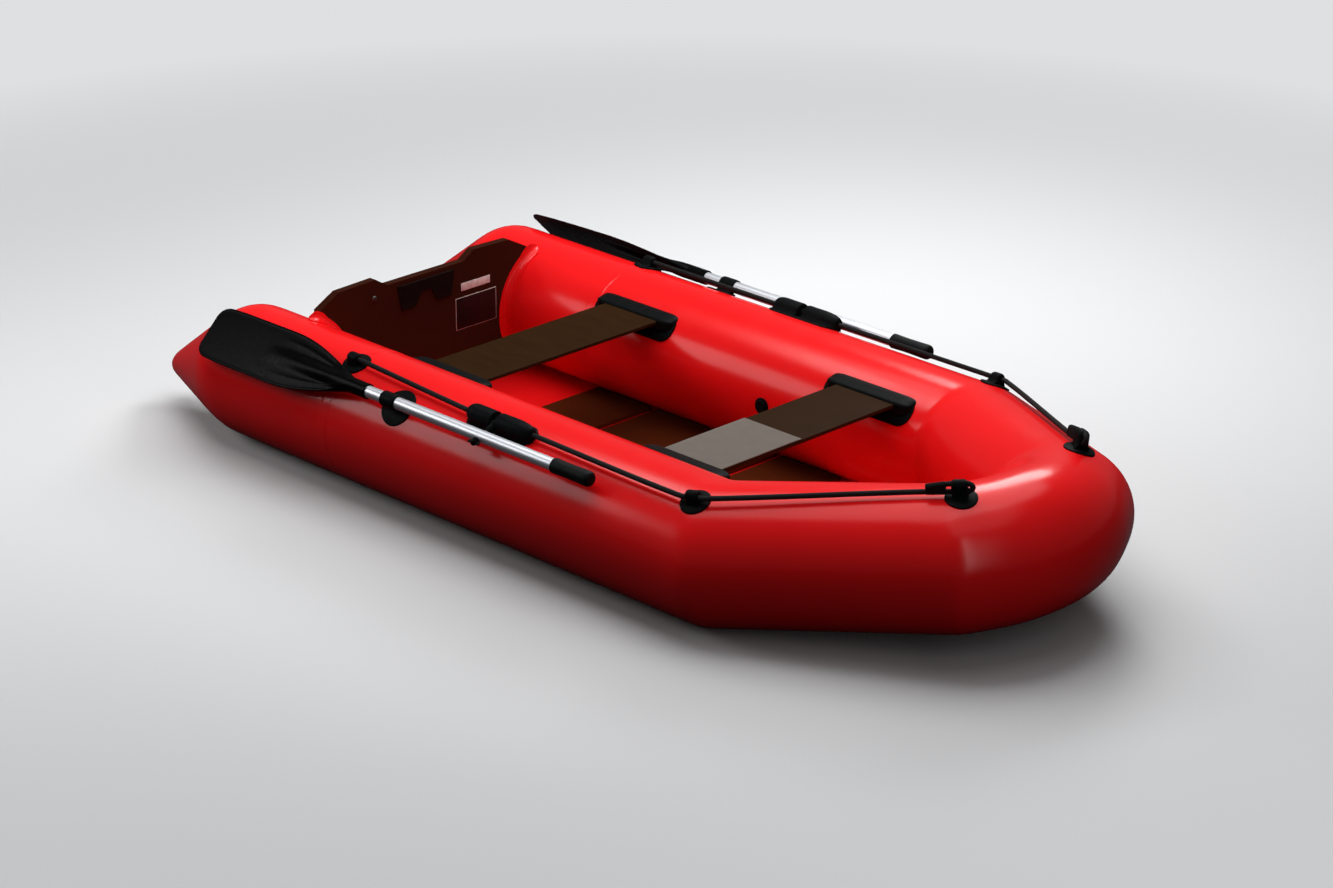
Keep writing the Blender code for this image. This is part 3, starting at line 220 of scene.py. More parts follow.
board = {
    "gloss": 0.012,
    "roughness": (0.35, 0.5),
    "grain": (6, 60, 60),
    "layers": 3400,
}


def filmFacedPly(name, film, worn, grainTurn):
    # a dark film with a faint grain, and the ply's layers bare at the edges
    ply = Finish(name, Specular_IOR_Level=board["gloss"])
    grain = ply.noise(1.6, 5.0, 0.6, at=ply.place(scale=board["grain"], turn=(0, 0, grainTurn)))
    face = ply.blend(ply.spread(grain, 0.35, 0.7), film, worn)
    layer = (ply.axis("Z") * board["layers"]).sine()
    edge = ply.blend(ply.spread(layer, -0.3, 0.3), shade(worn, 0.8), shade(worn, 1.7))
    normal = ply.node("ShaderNodeNewGeometry", out="Normal")
    rise = abs(ply.node("ShaderNodeSeparateXYZ", {}, (normal,), "Z"))
    ply.feed("Base Color", ply.blend(ply.spread(rise, 0.3, 0.6), edge, face))
    ply.feed("Roughness", ply.spread(grain, 0.3, 0.7, *board["roughness"]))
    ply.feed("Normal", ply.bump(grain, 0.0004, 0.35))
    return ply.data


def brushedMetal(name, colour, roughness, stretch):
    metal = Finish(name, Metallic=1.0)
    lines = metal.noise(2.0, 3.0, at=metal.place(scale=stretch))
    metal.feed("Base Color", metal.blend(lines, shade(colour, 0.93), colour))
    metal.feed("Roughness", metal.spread(lines, 0.3, 0.7, roughness - 0.02, roughness + 0.04))
    metal.feed("Normal", metal.bump(lines, 0.00001, 0.1))
    return metal.data


weave = {"threads": 3600, "depth": 0.0004, "cloud": 30.0}


def wovenPad(name, colour):
    pad = Finish(name, Roughness=0.85, Sheen_Weight=0.1, Specular_IOR_Level=0.2)
    warp = (pad.axis("X") * weave["threads"]).sine()
    weft = (pad.axis("Y") * weave["threads"]).sine()
    pad.feed("Base Color", pad.blend(pad.cloud(weave["cloud"], 4.0), colour, shade(colour, 1.12)))
    pad.feed("Normal", pad.bump(warp * weft, weave["depth"], 0.5))
    return pad.data


grainAcross = math.pi / 2
finishes = {made.name: made for made in (
    coatedFabric("hullRed", (0.93, 0.0085, 0.0105), (0.87, 0.0075, 0.009), 0.21),
    coatedFabric("floorRed", (0.92, 0.0085, 0.0105), (0.84, 0.0075, 0.009), 0.1),
    mouldedRubber("fittingRubber", (0.003, 0.0037, 0.004), 0.45, 0.0001, 0.025),
    mouldedRubber("clampRubber", (0.005, 0.0036, 0.003), 0.55, 0.0002, 0.08),
    mouldedRubber("gripRubber", (0.003, 0.0038, 0.004), 0.5, 0.0002, 0.08),
    mouldedRubber("bladePlastic", (0.0004, 0.0004, 0.0006), 0.3, 0.00001, 0.035),
    mouldedRubber("paleEnamel", (0.66, 0.62, 0.6), 0.4, 0.00002, 0.4),
    mouldedRubber("darkEnamel", (0.01, 0.005, 0.005), 0.35, 0.00002, 0.3),
    braidedRope("ropeBlack"),
    filmFacedPly("seatWood", (0.022, 0.009, 0.0024), (0.029, 0.0124, 0.0038), grainAcross),
    filmFacedPly("floorWood", (0.07, 0.013, 0.0035), (0.084, 0.018, 0.005), grainAcross),
    filmFacedPly("transomWood", (0.03, 0.0075, 0.0035), (0.038, 0.01, 0.005), 0.0),
    brushedMetal("shaftAluminium", (0.64, 0.66, 0.7), 0.4, (3, 900, 900)),
    brushedMetal("boltSteel", (0.08, 0.075, 0.07), 0.45, (90, 90, 90)),
    wovenPad("padGrey", (0.138, 0.114, 0.096)),
)}
print("finishes:", len(finishes))


def onlyThis(piece):
    bpy.ops.object.select_all(action="DESELECT")
    piece.select_set(True)
    bpy.context.view_layer.objects.active = piece


def tidied(piece, finish, smooth=35.0):
    # doubles merged, faces turned out, smooth but for the sharp corners
    onlyThis(piece)
    bpy.ops.object.mode_set(mode="EDIT")
    bpy.ops.mesh.select_all(action="SELECT")
    bpy.ops.mesh.remove_doubles(threshold=0.00001)
    bpy.ops.mesh.normals_make_consistent(inside=False)
    bpy.ops.object.mode_set(mode="OBJECT")
    bpy.ops.object.shade_smooth_by_angle(angle=math.radians(smooth))
    piece.data.materials.clear()
    piece.data.materials.append(finishes[finish])
    return piece


def formed(points, finish, smooth=35.0):
    # a grid whose points are moved to a worked-out surface; rows run along it, columns round it
    rows, columns = points.shape[0] - 1, points.shape[1] - 1
    bpy.ops.object.select_all(action="DESELECT")
    bpy.ops.mesh.primitive_grid_add(x_subdivisions=columns, y_subdivisions=rows, size=2)
    piece = bpy.context.object
    flat = np.empty(len(piece.data.vertices) * 3)
    piece.data.vertices.foreach_get("co", flat)
    spots = flat.reshape(-1, 3)
    column = np.rint((spots[:, 0] + 1) / 2 * columns).astype(int)
    row = np.rint((spots[:, 1] + 1) / 2 * rows).astype(int)
    piece.data.vertices.foreach_set("co", points[row, column].ravel())
    piece.data.update()
    return tidied(piece, finish, smooth)


def lofted(rings, finish, smooth=35.0):
    # closed rings, with the first and the last drawn in to a point
    rings = np.array(rings, float)
    ends = [np.broadcast_to(ring.mean(axis=0), (1, len(ring) + 1, 3)) for ring in (rings[0], rings[-1])]
    rings = np.concatenate([rings, rings[:, :1]], axis=1)
    return formed(np.concatenate([ends[0], rings, ends[1]]), finish, smooth)


def turned(outline, finish, steps):
    # a disc drawn up from ring to ring; outline is (radius, height) from the bottom
    radius, height = outline[0]
    bpy.ops.object.select_all(action="DESELECT")
    bpy.ops.mesh.primitive_circle_add(vertices=steps, radius=radius, fill_type="NGON")
    piece = bpy.context.object
    piece.data.transform(Matrix.Translation((0, 0, height)))
    bpy.ops.object.mode_set(mode="EDIT")
    bpy.ops.mesh.select_all(action="SELECT")
    for nextRadius, nextHeight in outline[1:]:
        bpy.ops.mesh.extrude_region_move(TRANSFORM_OT_translate={"value": (0, 0, nextHeight - height)})
        share = nextRadius / radius
        bpy.ops.transform.resize(value=(share, share, 1), center_override=(0, 0, nextHeight))
        radius, height = nextRadius, nextHeight
    bpy.ops.object.mode_set(mode="OBJECT")
    return tidied(piece, finish)


def block(low, high, roll, finish):
    # a box between two corners, with its edges rolled
    low, high = Vector(low), Vector(high)
    bpy.ops.object.select_all(action="DESELECT")
    bpy.ops.mesh.primitive_cube_add(size=1)
    piece = bpy.context.object
    piece.data.transform(Matrix.Translation((low + high) / 2) @ Matrix.Diagonal((*(high - low), 1)))
    bpy.ops.object.mode_set(mode="EDIT")
    bpy.ops.mesh.select_all(action="SELECT")
    bpy.ops.mesh.bevel(offset=roll, segments=3, affect="EDGES")
    bpy.ops.object.mode_set(mode="OBJECT")
    return tidied(piece, finish)


def moulded(outline, half, fillet, finish, steps):
    # an outline of (across, away) carried along x from -half to half, its ends rolled in by the fillet
    outline = np.array(outline, float)
    middle = (outline.min(axis=0) + outline.max(axis=0)) / 2
    away = outline - middle
    length = np.linalg.norm(away, axis=1, keepdims=True)
    turns = np.linspace(0, math.pi / 2, steps)
    roll = [(fillet * (1 - math.cos(turn)), 1 - math.sin(turn)) for turn in turns]
    places = [(depth - half, inset) for depth, inset in roll]
    places += [(share * half, 0.0) for share in (-0.5, 0.0, 0.5)]
    places += [(half - depth, inset) for depth, inset in roll[::-1]]
    rings = []
    for x, inset in places:
        ring = middle + away * (1 - inset * fillet / np.maximum(length, 1e-6))
        rings.append(np.column_stack([np.full(len(ring), x), ring]))
    return lofted(rings, finish, 40.0)


def joined(pieces):
    onlyThis(pieces[0])
    for piece in pieces:
        piece.select_set(True)
    bpy.ops.object.join()
    return bpy.context.object


def placed(piece, seat):
    piece.data.transform(seat)
    return piece


def portTwin(piece):
    # the same piece on the other side, with its own mesh
    onlyThis(piece)
    bpy.ops.object.duplicate()
    twin = bpy.context.object
    twin.data.transform(Matrix.Scale(-1, 4, (0, 1, 0)))
    twin.data.flip_normals()
    return twin


def arc(middle, radius, first, last, steps):
    turns = [math.radians(first + (last - first) * i / steps) for i in range(steps + 1)]
    return [(middle[0] + radius * math.cos(turn), middle[1] + radius * math.sin(turn)) for turn in turns]


def frameName(words):
    # fittingRubber becomes fitting_rubber, as the frame's own names are written
    return "".join("_" + letter.lower() if letter.isupper() else letter for letter in words)


def settle(piece, name, body, slot, *nodes):
    piece.name = name
    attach(piece, body)
    if nodes:
        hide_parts(*nodes)
    return piece


def onBothSides(piece, kind, body="hull", isNew=False):
    # copies the piece to port, and seats both on their bodies in place of the nodes of that kind
    slot = frameName(piece.data.materials[0].name)
    pair = (piece, portTwin(piece))
    for side, made in zip(sides, pair):
        nodes = [] if isNew else [side + frameName(kind)]
        settle(made, side + kind, body.format(side=side), slot, *nodes)
    return pair


# the air tubes' skin: one run from the starboard tip round the bow to the port tip
hull = {
    "radius": 0.19,
    "halfSpacing": 0.4972,
    "seamX": -0.633,
    "corners": [
        (0.7146, 0.4972, 0.19), (1.2617, 0.2031, 0.2571), (1.3232, 0.10155, 0.26635), (1.3487, 0.0, 0.2756),
    ],
    "rounding": (0.017, 0.016, 0.034, 0.042),  # how far each corner is softened
    "around": 112,
    "step": 0.03,
    "nearTip": [0.0, 0.0004, 0.0015, 0.0035, 0.006, 0.01, 0.015, 0.022, 0.03, 0.04, 0.055, 0.075],
    "nearSeam": [0.0, 0.004, 0.008, 0.012, 0.0138, 0.0155, 0.0172, 0.02, 0.025, 0.032, 0.042, 0.055],
    "nearBend": [0.008, 0.016, 0.024],
}
stern = {
    "tipX": -1.535,
    "taper": 0.54,
    "first": 0.105,  # the tip's share of the tube's radius
    "slope": 1.326,
    "blend": 0.13,
    "lift": 0.115,  # of the underside at the tip, dying out at the share of the taper that follows
    "liftUntil": 0.749,
    "nose": 0.05,
}
seam = {
    "tapeHalf": 0.0155,
    "tapeEdge": 0.0024,
    "tapeRise": 0.0007,
    "puckerPitch": 0.0125,
    "puckerReach": 0.03,
    "puckerRise": 0.0004,
}
baffle = {"gap": 0.004, "half": 0.0006}


def hullRing(centre, heading, normal, radius, turns):
    # the tube's section where a plane cuts it; turns are radians from the top, outboard first
    heading = heading.normalized()
    up = (upward - upward.dot(heading) * heading).normalized()
    outboard = heading.cross(up)
    rim = np.outer(np.cos(turns), up) + np.outer(np.sin(turns), outboard)
    ring = np.array(centre) + radius * rim
    slide = -(radius * rim @ np.array(normal)) / heading.dot(normal)
    return ring + np.outer(slide, heading)


def sternSection(distance):
    # a straight cone that blends into the full tube, its underside rising to the tip
    reach = distance / stern["taper"]
    cone = stern["first"] + stern["slope"] * reach
    ease = max(0.0, stern["blend"] - abs(cone - 1)) / stern["blend"]
    radius = hull["radius"] * (min(1.0, cone) - stern["blend"] * ease ** 2 / 4)
    height = stern["lift"] * max(0.0, stern["liftUntil"] - reach) + radius
    depth = min(1.0, distance / stern["nose"])
    return radius * math.sqrt(1 - (1 - depth) ** 2), height


def hullSections(line, turns):
    # one section at each corner of the centre line, cut by the plane that halves the bend
    sections = []
    for index, corner in enumerate(line):
        before = line[index] - line[index - 1] if index else forward
        if index == len(line) - 1:
            normal = Vector((0, 1, 0))
        elif index:
            normal = (before.normalized() + (line[index + 1] - corner).normalized()).normalized()
        else:
            normal = forward
        heading = normal if index >= 3 else before
        sections.append(hullRing(corner, heading, normal, hull["radius"], turns))
    return sections


def starboardRings(turns):
    # every ring from the stern tip to the bow, with its distance along the tube, and the corners' distances
    tipX, nearSeam = stern["tipX"], hull["nearSeam"]
    line = [Vector((hull["seamX"], -hull["halfSpacing"], hull["radius"]))]
    line += [Vector((x, -y, z)) for x, y, z in hull["corners"]]
    seams = [hull["seamX"] - tipX]
    runs = hull["nearTip"] + list(np.linspace(0.1, stern["taper"], 26)) + [0.6, 0.67, 0.74, 0.81]
    runs += [seams[0] - gap for gap in nearSeam[::-1]]
    rings = []
    for run in runs:
        radius, height = sternSection(run)
        centre = Vector((tipX + run, -hull["halfSpacing"], height))
        rings.append(hullRing(centre, forward, forward, radius, turns))
    sections = hullSections(line, turns)
    for index in range(len(line) - 1):
        length = (line[index + 1] - line[index]).length
        start = nearSeam[1:] if index < 3 else hull["nearBend"]
        end = nearSeam[1:] if index < 2 else hull["nearBend"]
        count = max(4, int(length / hull["step"]))
        inner = list(np.linspace(start[-1], length - end[-1], count))[1:-1]
        for place in start + inner + [length - gap for gap in end[::-1]] + [length]:
            share = place / length
            rings.append(sections[index] * (1 - share) + sections[index + 1] * share)
            runs.append(seams[-1] + place)
        seams.append(runs[-1])
    return np.array(rings), np.array(runs), seams


def roundedAlong(rings, along, widths):
    # each ring becomes a mean of its neighbours, weighted over that place's own width
    gaps = np.gradient(along)
    smooth = rings.copy()
    for row in range(len(along)):
        if widths[row] > 0.0005:
            share = np.exp(-0.5 * ((along - along[row]) / widths[row]) ** 2) * gaps
            smooth[row] = np.tensordot(share / share.sum(), rings, axes=1)
    return smooth


def hullSkin():
    turns = np.linspace(math.pi, 3 * math.pi, hull["around"] + 1)  # the grid's own seam lies underneath
    half, runs, seams = starboardRings(turns)
    whole = np.concatenate([half, half[-2::-1] * (1, -1, 1)])
    along = np.concatenate([runs, 2 * runs[-1] - runs[-2::-1]])
    depth = np.minimum(along, 2 * runs[-1] - along)  # every place's run from the nearer stern tip
    widths = np.interp(depth, [seams[0] + 0.1] + seams[1:], (0.0,) + hull["rounding"])
    smooth = roundedAlong(whole, along, widths)
    outward = smooth - smooth[:, :-1].mean(axis=1, keepdims=True)
    outward /= np.maximum(np.linalg.norm(outward, axis=2, keepdims=True), 1e-9)
    # the tape over the stern seam stands a coat's thickness proud
    edge = seam["tapeEdge"]
    lift = np.clip((seam["tapeHalf"] + edge / 2 - np.abs(depth - seams[0])) / edge, 0, 1)
    tape = seam["tapeRise"] * (lift * lift * (3 - 2 * lift))
    # slack fabric puckers on the inner side of the shoulder
    away = depth - seams[1]
    ripple = np.cos(away / seam["puckerPitch"] * math.pi) * np.exp(-(away / seam["puckerReach"]) ** 2)
    inner = np.clip(-np.sin(turns), 0, 1) ** 2 * (0.6 + 0.4 * np.sin(turns * 9))
    rise = tape[:, None] + seam["puckerRise"] * ripple[:, None] * inner
    return formed(smooth + outward * rise[:, :, None], "hullRed", 60), smooth[len(runs) - 1, :-1]


def bowBaffle(ring):
    # the fabric wall between the two air chambers, just inside the skin
    middle = ring.mean(axis=0)
    reach = np.linalg.norm(ring - middle, axis=1, keepdims=True)
    inside = middle + (ring - middle) * (1 - baffle["gap"] / reach)
    faces = [inside * (1, 0, 1) + (0, side * baffle["half"], 0) for side in (-1, 1)]
    return lofted(faces, "hullRed")


skin, bowRing = hullSkin()
tubes = [f"{side}_{part}_tube" for side in sides for part in ("stern", "side", "bow")] + ["bow_front_tube"]
settle(skin, "hullSkin", "hull", "hull_red", *tubes)
settle(bowBaffle(bowRing), "bowBaffle", "hull", "hull_red", "bow_baffle")
hullTree = BVHTree.FromObject(skin, bpy.context.evaluated_depsgraph_get())
print("hull skin:", len(skin.data.polygons), "faces")


def seatOf(origin, along, away):
    # a glued piece's own axes: along, across and away from the skin
    away = Vector(away).normalized()
    along = (Vector(along) - Vector(along).dot(away) * away).normalized()
    columns = Matrix((along, away.cross(along), away)).transposed().to_4x4()
    return Matrix.Translation(Vector(origin)) @ columns


def tubeSeat(x, angle):
    # a seat on the starboard side tube, at degrees outboard from its top
    turn = math.radians(angle)
    away = Vector((0, -math.sin(turn), math.cos(turn)))
    origin = Vector((x, -hull["halfSpacing"], hull["radius"])) + hull["radius"] * away
    return seatOf(origin, forward, away)


def layOnHull(piece, seat, startHeight=0.07):
    # heights over a flat seat become heights over the tube's skin
    away = seat.to_3x3() @ upward
    for vertex in piece.data.vertices:
        foot = seat @ Vector((vertex.co.x, vertex.co.y, startHeight))
        hit = hullTree.ray_cast(foot, -away)[0]
        vertex.co = hit + vertex.co.z * away
    piece.data.update()
    return piece


# grab lines, with the twine at their ends and the eyes that hold them
rope = {
    "radius": 0.007,
    "around": 20,
    "step": 0.006,
    "route": [
        (-0.6357, -0.57039, 0.38576), (-0.62, -0.57039, 0.38576), (-0.6, -0.57039, 0.38576),
        (-0.14, -0.59163, 0.37533), (-0.09, -0.59163, 0.37533),
        (0.09, -0.59163, 0.37533), (0.14, -0.59163, 0.37533),
        (0.68015, -0.59944, 0.37274), (0.713, -0.58783, 0.37833), (0.74804, -0.58409, 0.38013),
        (1.1928, -0.2953, 0.44694), (1.27787, -0.24406, 0.45869), (1.31147, -0.22382, 0.46334),
        (1.32345, -0.21947, 0.47675), (1.31161, -0.22946, 0.48687), (1.28481, -0.2456, 0.48317),
        (1.25672, -0.2616, 0.47551), (1.22266, -0.28086, 0.46564),
    ],
    "sternEye": (-0.62, 20.5),  # x and degrees outboard; the others are a place, a line along and one away
    "shoulderEye": ((0.713, -0.5796, 0.3612), (0.96992, 0.21934, 0.10556), (0.0, -0.43366, 0.90108)),
    "bowEye": ((1.29477, -0.22939, 0.44257), (0.85066, 0.51242, 0.11753), (0.00591, -0.23287, 0.97249)),
    "turnRise": 0.0175,  # room for the turn over the bow eye
}
whipping = {
    "length": 0.05,
    "twine": 0.0012,
    "steps": 40,
    "around": 36,
    "ridges": 26,
    "ridge": 0.0004,
    "end": 0.82,
}
eye = {
    "disc": 0.042,
    "thick": 0.0048,
    "lug": 0.016,
    "hole": 0.019,
    "half": 0.02,
    "round": 0.009,
    "toe": 0.0045,
}


def ropePath():
    # a smooth curve through the route's own points, read at even steps
    points = [Vector(p) for p in rope["route"]]
    path = []
    for i in range(len(points) - 1):
        before, first, second, after = (points[min(max(k, 0), len(points) - 1)] for k in range(i - 1, i + 3))
        span = (second - first).length
        leave, arrive = (second - before).normalized() * span, (after - first).normalized() * span
        count = max(6, round(span / rope["step"]))
        for k in range(count):
            t = k / count
            start = (2 * t ** 3 - 3 * t ** 2 + 1) * first + (t ** 3 - 2 * t ** 2 + t) * leave
            path.append(start + (-2 * t ** 3 + 3 * t ** 2) * second + (t ** 3 - t ** 2) * arrive)
    return path + [points[-1]]


def grabLine(path):
    turns = np.linspace(0, math.tau, rope["around"] + 1)
    across = Vector((0, 1, 0))
    rings = []
    for index, point in enumerate(path):
        heading = (path[min(index + 1, len(path) - 1)] - path[max(index - 1, 0)]).normalized()
        across = (across - across.dot(heading) * heading).normalized()
        rim = np.outer(np.cos(turns), across) + np.outer(np.sin(turns), heading.cross(across))
        rings.append(np.array(point) + rope["radius"] * rim)
    first, last = (np.broadcast_to(np.array(point), (1, len(turns), 3)) for point in (path[0], path[-1]))
    return formed(np.concatenate([first, np.array(rings), last]), "ropeBlack", 60)


def ropeWhipping(path):
    # twine wound round the line and its own end, where it comes back over the bow eye
    tail = path[-1]
    nearest = min(range(len(path) - 12), key=lambda i: (path[i] - tail).length)
    along = (path[nearest + 6] - path[nearest]).normalized()
    back = (path[-8] - tail).normalized()
    below = [path[k] + along * t for k in range(nearest - 3, nearest + 14) for t in (0.0, 0.002, 0.004)]
    steps = whipping["steps"]
    rings = []
    for i in range(steps + 1):
        end = tail + back * (i / steps * whipping["length"] - whipping["twine"])
        main = min(below, key=lambda p: abs((p - end).dot(along)))
        lift = (end - main).normalized()
        across = along.cross(lift).normalized()
        wide = rope["radius"] + whipping["twine"]
        wide += whipping["ridge"] * math.sin(i / steps * whipping["ridges"] * math.pi)
        wide *= whipping["end"] if i in (0, steps) else 1.0
        half = (end - main).length / 2
        ring = []
        for k in range(whipping["around"]):
            turn = math.tau * k / whipping["around"]
            c, s = math.cos(turn), math.sin(turn)
            rise = wide * s + math.copysign(half, s) * min(1, abs(s) * 4)
            ring.append(tuple((end + main) / 2 + across * wide * c + lift * rise))
        rings.append(ring)
    return lofted(rings, "ropeBlack", 60)


def eyeLug(rise):
    # a dome over the rope, its ends rolled over; the rise makes room for a turn of rope
    lug = eye["lug"]
    foot = lug + eye["toe"]
    side = [(foot + 0.002, 0.003), (foot, 0.0055), (lug + 0.0012, 0.011)]
    outline = side + arc((0, eye["hole"] + rise), lug, 0, 180, 20) + [(-u, v) for u, v in side[::-1]]
    return moulded(outline, eye["half"], eye["round"], "fittingRubber", 8)


def ropeEye(seat, rise):
    rim, thick = eye["disc"], eye["thick"]
    outline = [(rim - 0.001, 0.0), (rim, 0.0008), (rim, thick * 0.55), (rim - 0.0007, thick * 0.85)]
    outline += [(rim - 0.003, thick), (rim - 0.008, thick + 0.0004), (0.026, thick + 0.001)]
    outline += [(0.018, thick + 0.0015), (0.008, thick + 0.002), (0.001, thick + 0.002)]
    disc = layOnHull(turned(outline, "fittingRubber", 64), seat)
    return joined([disc, placed(eyeLug(rise), seat)])


path = ropePath()
lines = onBothSides(grabLine(path), "GrabLine")
whippings = onBothSides(ropeWhipping(path), "Whipping", isNew=True)
onBothSides(ropeEye(tubeSeat(*rope["sternEye"]), 0.0), "SternEye")
onBothSides(ropeEye(seatOf(*rope["shoulderEye"]), 0.0), "ShoulderEye")
onBothSides(ropeEye(seatOf(*rope["bowEye"]), rope["turnRise"]), "BowEye")
ropeLength = sum((b - a).length for a, b in zip(path, path[1:]))
for sign, made, twine in zip(sides.values(), lines, whippings):
    route = [(p.x, -sign * p.y, p.z) for p in path]
print("grab lines:", round(ropeLength, 3), "m each")

# oarlocks: a base with two bearings, and a swivel between them that turns about the long pin
lock = {
    "angle": 27.0,  # degrees outboard from the tube's top
    "x": -0.01,
    "height": 0.018,  # of the long pin over the skin
    "baseX": -0.006,
    "baseHalf": (0.1225, 0.038),
    "corner": 0.033,
    "lump": 0.027,
    "spans": ((-0.0193, -0.119, 0.027), (-0.0007, 0.1215, 0.062)),  # inner end, outer end, taper
    "endShare": 0.48,
    "swivelHalf": 0.009,
    "swivel": 0.0235,
    "swivelBack": 0.0135,
    "neck": 0.0105,
    "neckClear": 0.005,
}
nut = {
    "gap": 0.0003,
    "hub": [
        (0.01, 0.0), (0.0106, 0.0006), (0.0106, 0.0018), (0.0098, 0.0032), (0.0092, 0.011), (0.0086, 0.0132),
        (0.0074, 0.0158), (0.0062, 0.0174), (0.0044, 0.0184), (0.0022, 0.0188), (0.0006, 0.0189),
    ],
    "wing": [  # distance out, height, half length and half thickness of its sections
        (0.006, 0.0068, 0.005, 0.003), (0.009, 0.0072, 0.005, 0.0026), (0.0115, 0.0082, 0.0056, 0.0024),
        (0.0145, 0.0092, 0.0062, 0.0026), (0.0175, 0.01, 0.0062, 0.0027), (0.02, 0.0104, 0.0052, 0.0025),
        (0.0214, 0.0106, 0.0035, 0.0019), (0.0219, 0.0106, 0.0016, 0.0009),
    ],
}
oar = {
    "y": -0.65503,
    "z": 0.35203,
    "shaft": 0.0175,
    "span": (-0.5195, 0.396),
    "grip": (0.273, 0.412),
    "gripRadius": 0.0212,
    "gripEnd": 0.012,
}


def padPlate(halfLength, halfWidth, corner, seat, rows=28, thick=0.005):
    # a glued plate with round corners and a rolled rim, laid on the tube
    rings = []
    for i in range(rows + 1):
        across = -math.cos(math.pi * i / rows) * halfWidth
        depth = max(0.0, abs(across) - (halfWidth - corner))
        length = halfLength - corner + math.sqrt(max(corner ** 2 - depth ** 2, 1e-9))
        low = thick * 0.35
        top = low + thick * 0.65 * (1 - (abs(across) / halfWidth) ** 24)
        rise = low + (top - low) * 0.8
        ends = [(-length, 0.0), (-length, low), (-length + 0.0012, rise), (-length + 0.004, top)]
        flat = [(x, top) for x in np.linspace(-length + 0.012, length - 0.012, 15)]
        under = [(x, 0.0) for x in np.linspace(length - 0.012, -length + 0.012, 8)]
        ring = ends + flat + [(-x, h) for x, h in ends[::-1]] + under
        rings.append([(x, across, h) for x, h in ring])
    return layOnHull(lofted(rings, "fittingRubber", 50), seat)


def lockHousing(inner, end, taper):
    # half a round bearing over the long pin; its outer end slopes down towards the rope
    sign = 1 if end > inner else -1
    height, low = lock["height"], lock["endShare"]
    start = ((0, 0.84), (0.0006, 0.93), (0.002, 0.985), (0.004, 1))
    finish = ((0.0008, 0.96), (0.0014, 0.86), (0.0016, 0.7))
    places = [(inner + sign * depth, share) for depth, share in start]
    for turn in [math.radians(6.2 * i) for i in range(15)]:
        places.append((end - sign * taper * (1 - math.sin(turn)), low + (1 - low) * math.cos(turn)))
    places += [(end + sign * depth, low * share) for depth, share in finish]
    foot = lock["lump"] + 0.004
    arch = arc((0, height), lock["lump"], -12, 192, 30)
    rings = []
    for x, share in places:
        ring = [(foot * share + 0.001, 0.001), (foot * share, 0.0055)]
        ring += [(u * share, height + (v - height) * share) for u, v in arch]
        ring += [(-foot * share, 0.0055), (-foot * share - 0.001, 0.001)]
        rings.append([(x, u, v) for u, v in ring])
    return lofted(rings, "fittingRubber", 50)


def oarlockBase():
    pieces = [padPlate(*lock["baseHalf"], lock["corner"], tubeSeat(lock["baseX"], lock["angle"]))]
    pieces += [placed(lockHousing(*span), tubeSeat(0, lock["angle"])) for span in lock["spans"]]
    return joined(pieces)


lockAxis = tubeSeat(lock["x"], lock["angle"]) @ Vector((0, 0, lock["height"]))
oarMiddle = Vector((lock["x"], oar["y"], oar["z"]))
oarReach = oarMiddle - lockAxis  # from the long pin to the middle of the shaft


def oarlockSwivel():
    outline = arc((0, 0), lock["swivel"], -40, 130, 20) + arc((0, 0), lock["swivelBack"], 140, 310, 14)
    neck = lock["neck"]
    collar = moulded([(-b, a) for a, b in outline], lock["swivelHalf"], 0.002, "fittingRubber", 4)
    tip = oarReach.length - oar["shaft"] - lock["neckClear"]
    outline = [(neck + 0.004, 0.012), (neck + 0.0035, 0.019), (neck + 0.001, 0.0235), (neck, 0.028)]
    outline += [(neck, tip - 0.0018), (neck - 0.0006, tip - 0.0005), (neck - 0.002, tip)]
    swivel = joined([collar, turned(outline, "fittingRubber", 40)])
    return placed(swivel, seatOf(lockAxis, forward, oarReach))


def wingNut():
    pieces = [turned(nut["hub"], "bladePlastic", 40)]
    turns = np.linspace(0, math.tau, 21)[:-1]
    for sign in (-1, 1):
        rings = []
        for x, z, tall, thick in nut["wing"]:
            out, across, up = np.full(20, sign * x), thick * np.cos(turns), z + tall * np.sin(turns)
            rings.append(np.column_stack([out, across, up]))
        pieces.append(lofted(rings, "bladePlastic", 60))
    seat = oarMiddle + (oar["shaft"] + nut["gap"]) * oarReach.normalized()
    return placed(joined(pieces), seatOf(seat, forward, oarReach))


onBothSides(oarlockBase(), "OarlockBase")
onBothSides(oarlockSwivel(), "OarlockSwivel", "{side}_oar")
onBothSides(wingNut(), "WingNut", "{side}_oar_nut")
print("oarlocks made")

# oars, stowed along the tubes, and their clips
blade = {
    "tipX": -1.163,
    "mouthX": -0.464,
    "socket": 0.0218,
    "halfWidth": 0.0835,
    "half": 0.0026,
    "tilt": 45.0,
    "corner": 0.045,  # the tip's round corners end here
    "full": 0.12,
    "sleeve": 0.07,  # length of the straight socket
    "shoulder": 0.3,
    "blend": 0.1,
    "bow": 0.01,
    "spine": (0.26, 0.35, 0.027),  # where it starts, how far it grows, its half width
    "bead": (0.3, 0.08, 0.0016),  # where it starts, how far it grows, its rise
    "rim": 0.0009,
    "nearTip": [0.0, 0.001, 0.003, 0.006, 0.01, 0.015, 0.022, 0.032, 0.045],
    "nearMouth": [0.066, 0.06, 0.05, 0.03, 0.004, 0.0],
}
clip = {"x": -0.371, "disc": 0.0555, "half": 0.0275, "thick": 0.004, "gap": 0.0003, "span": (-105.0, 195.0)}


def alongShaft(start):
    # a turned piece's axis laid along the oar, from a place on it
    return Matrix.Translation((start, oar["y"], oar["z"])) @ Matrix.Rotation(math.pi / 2, 4, "Y")


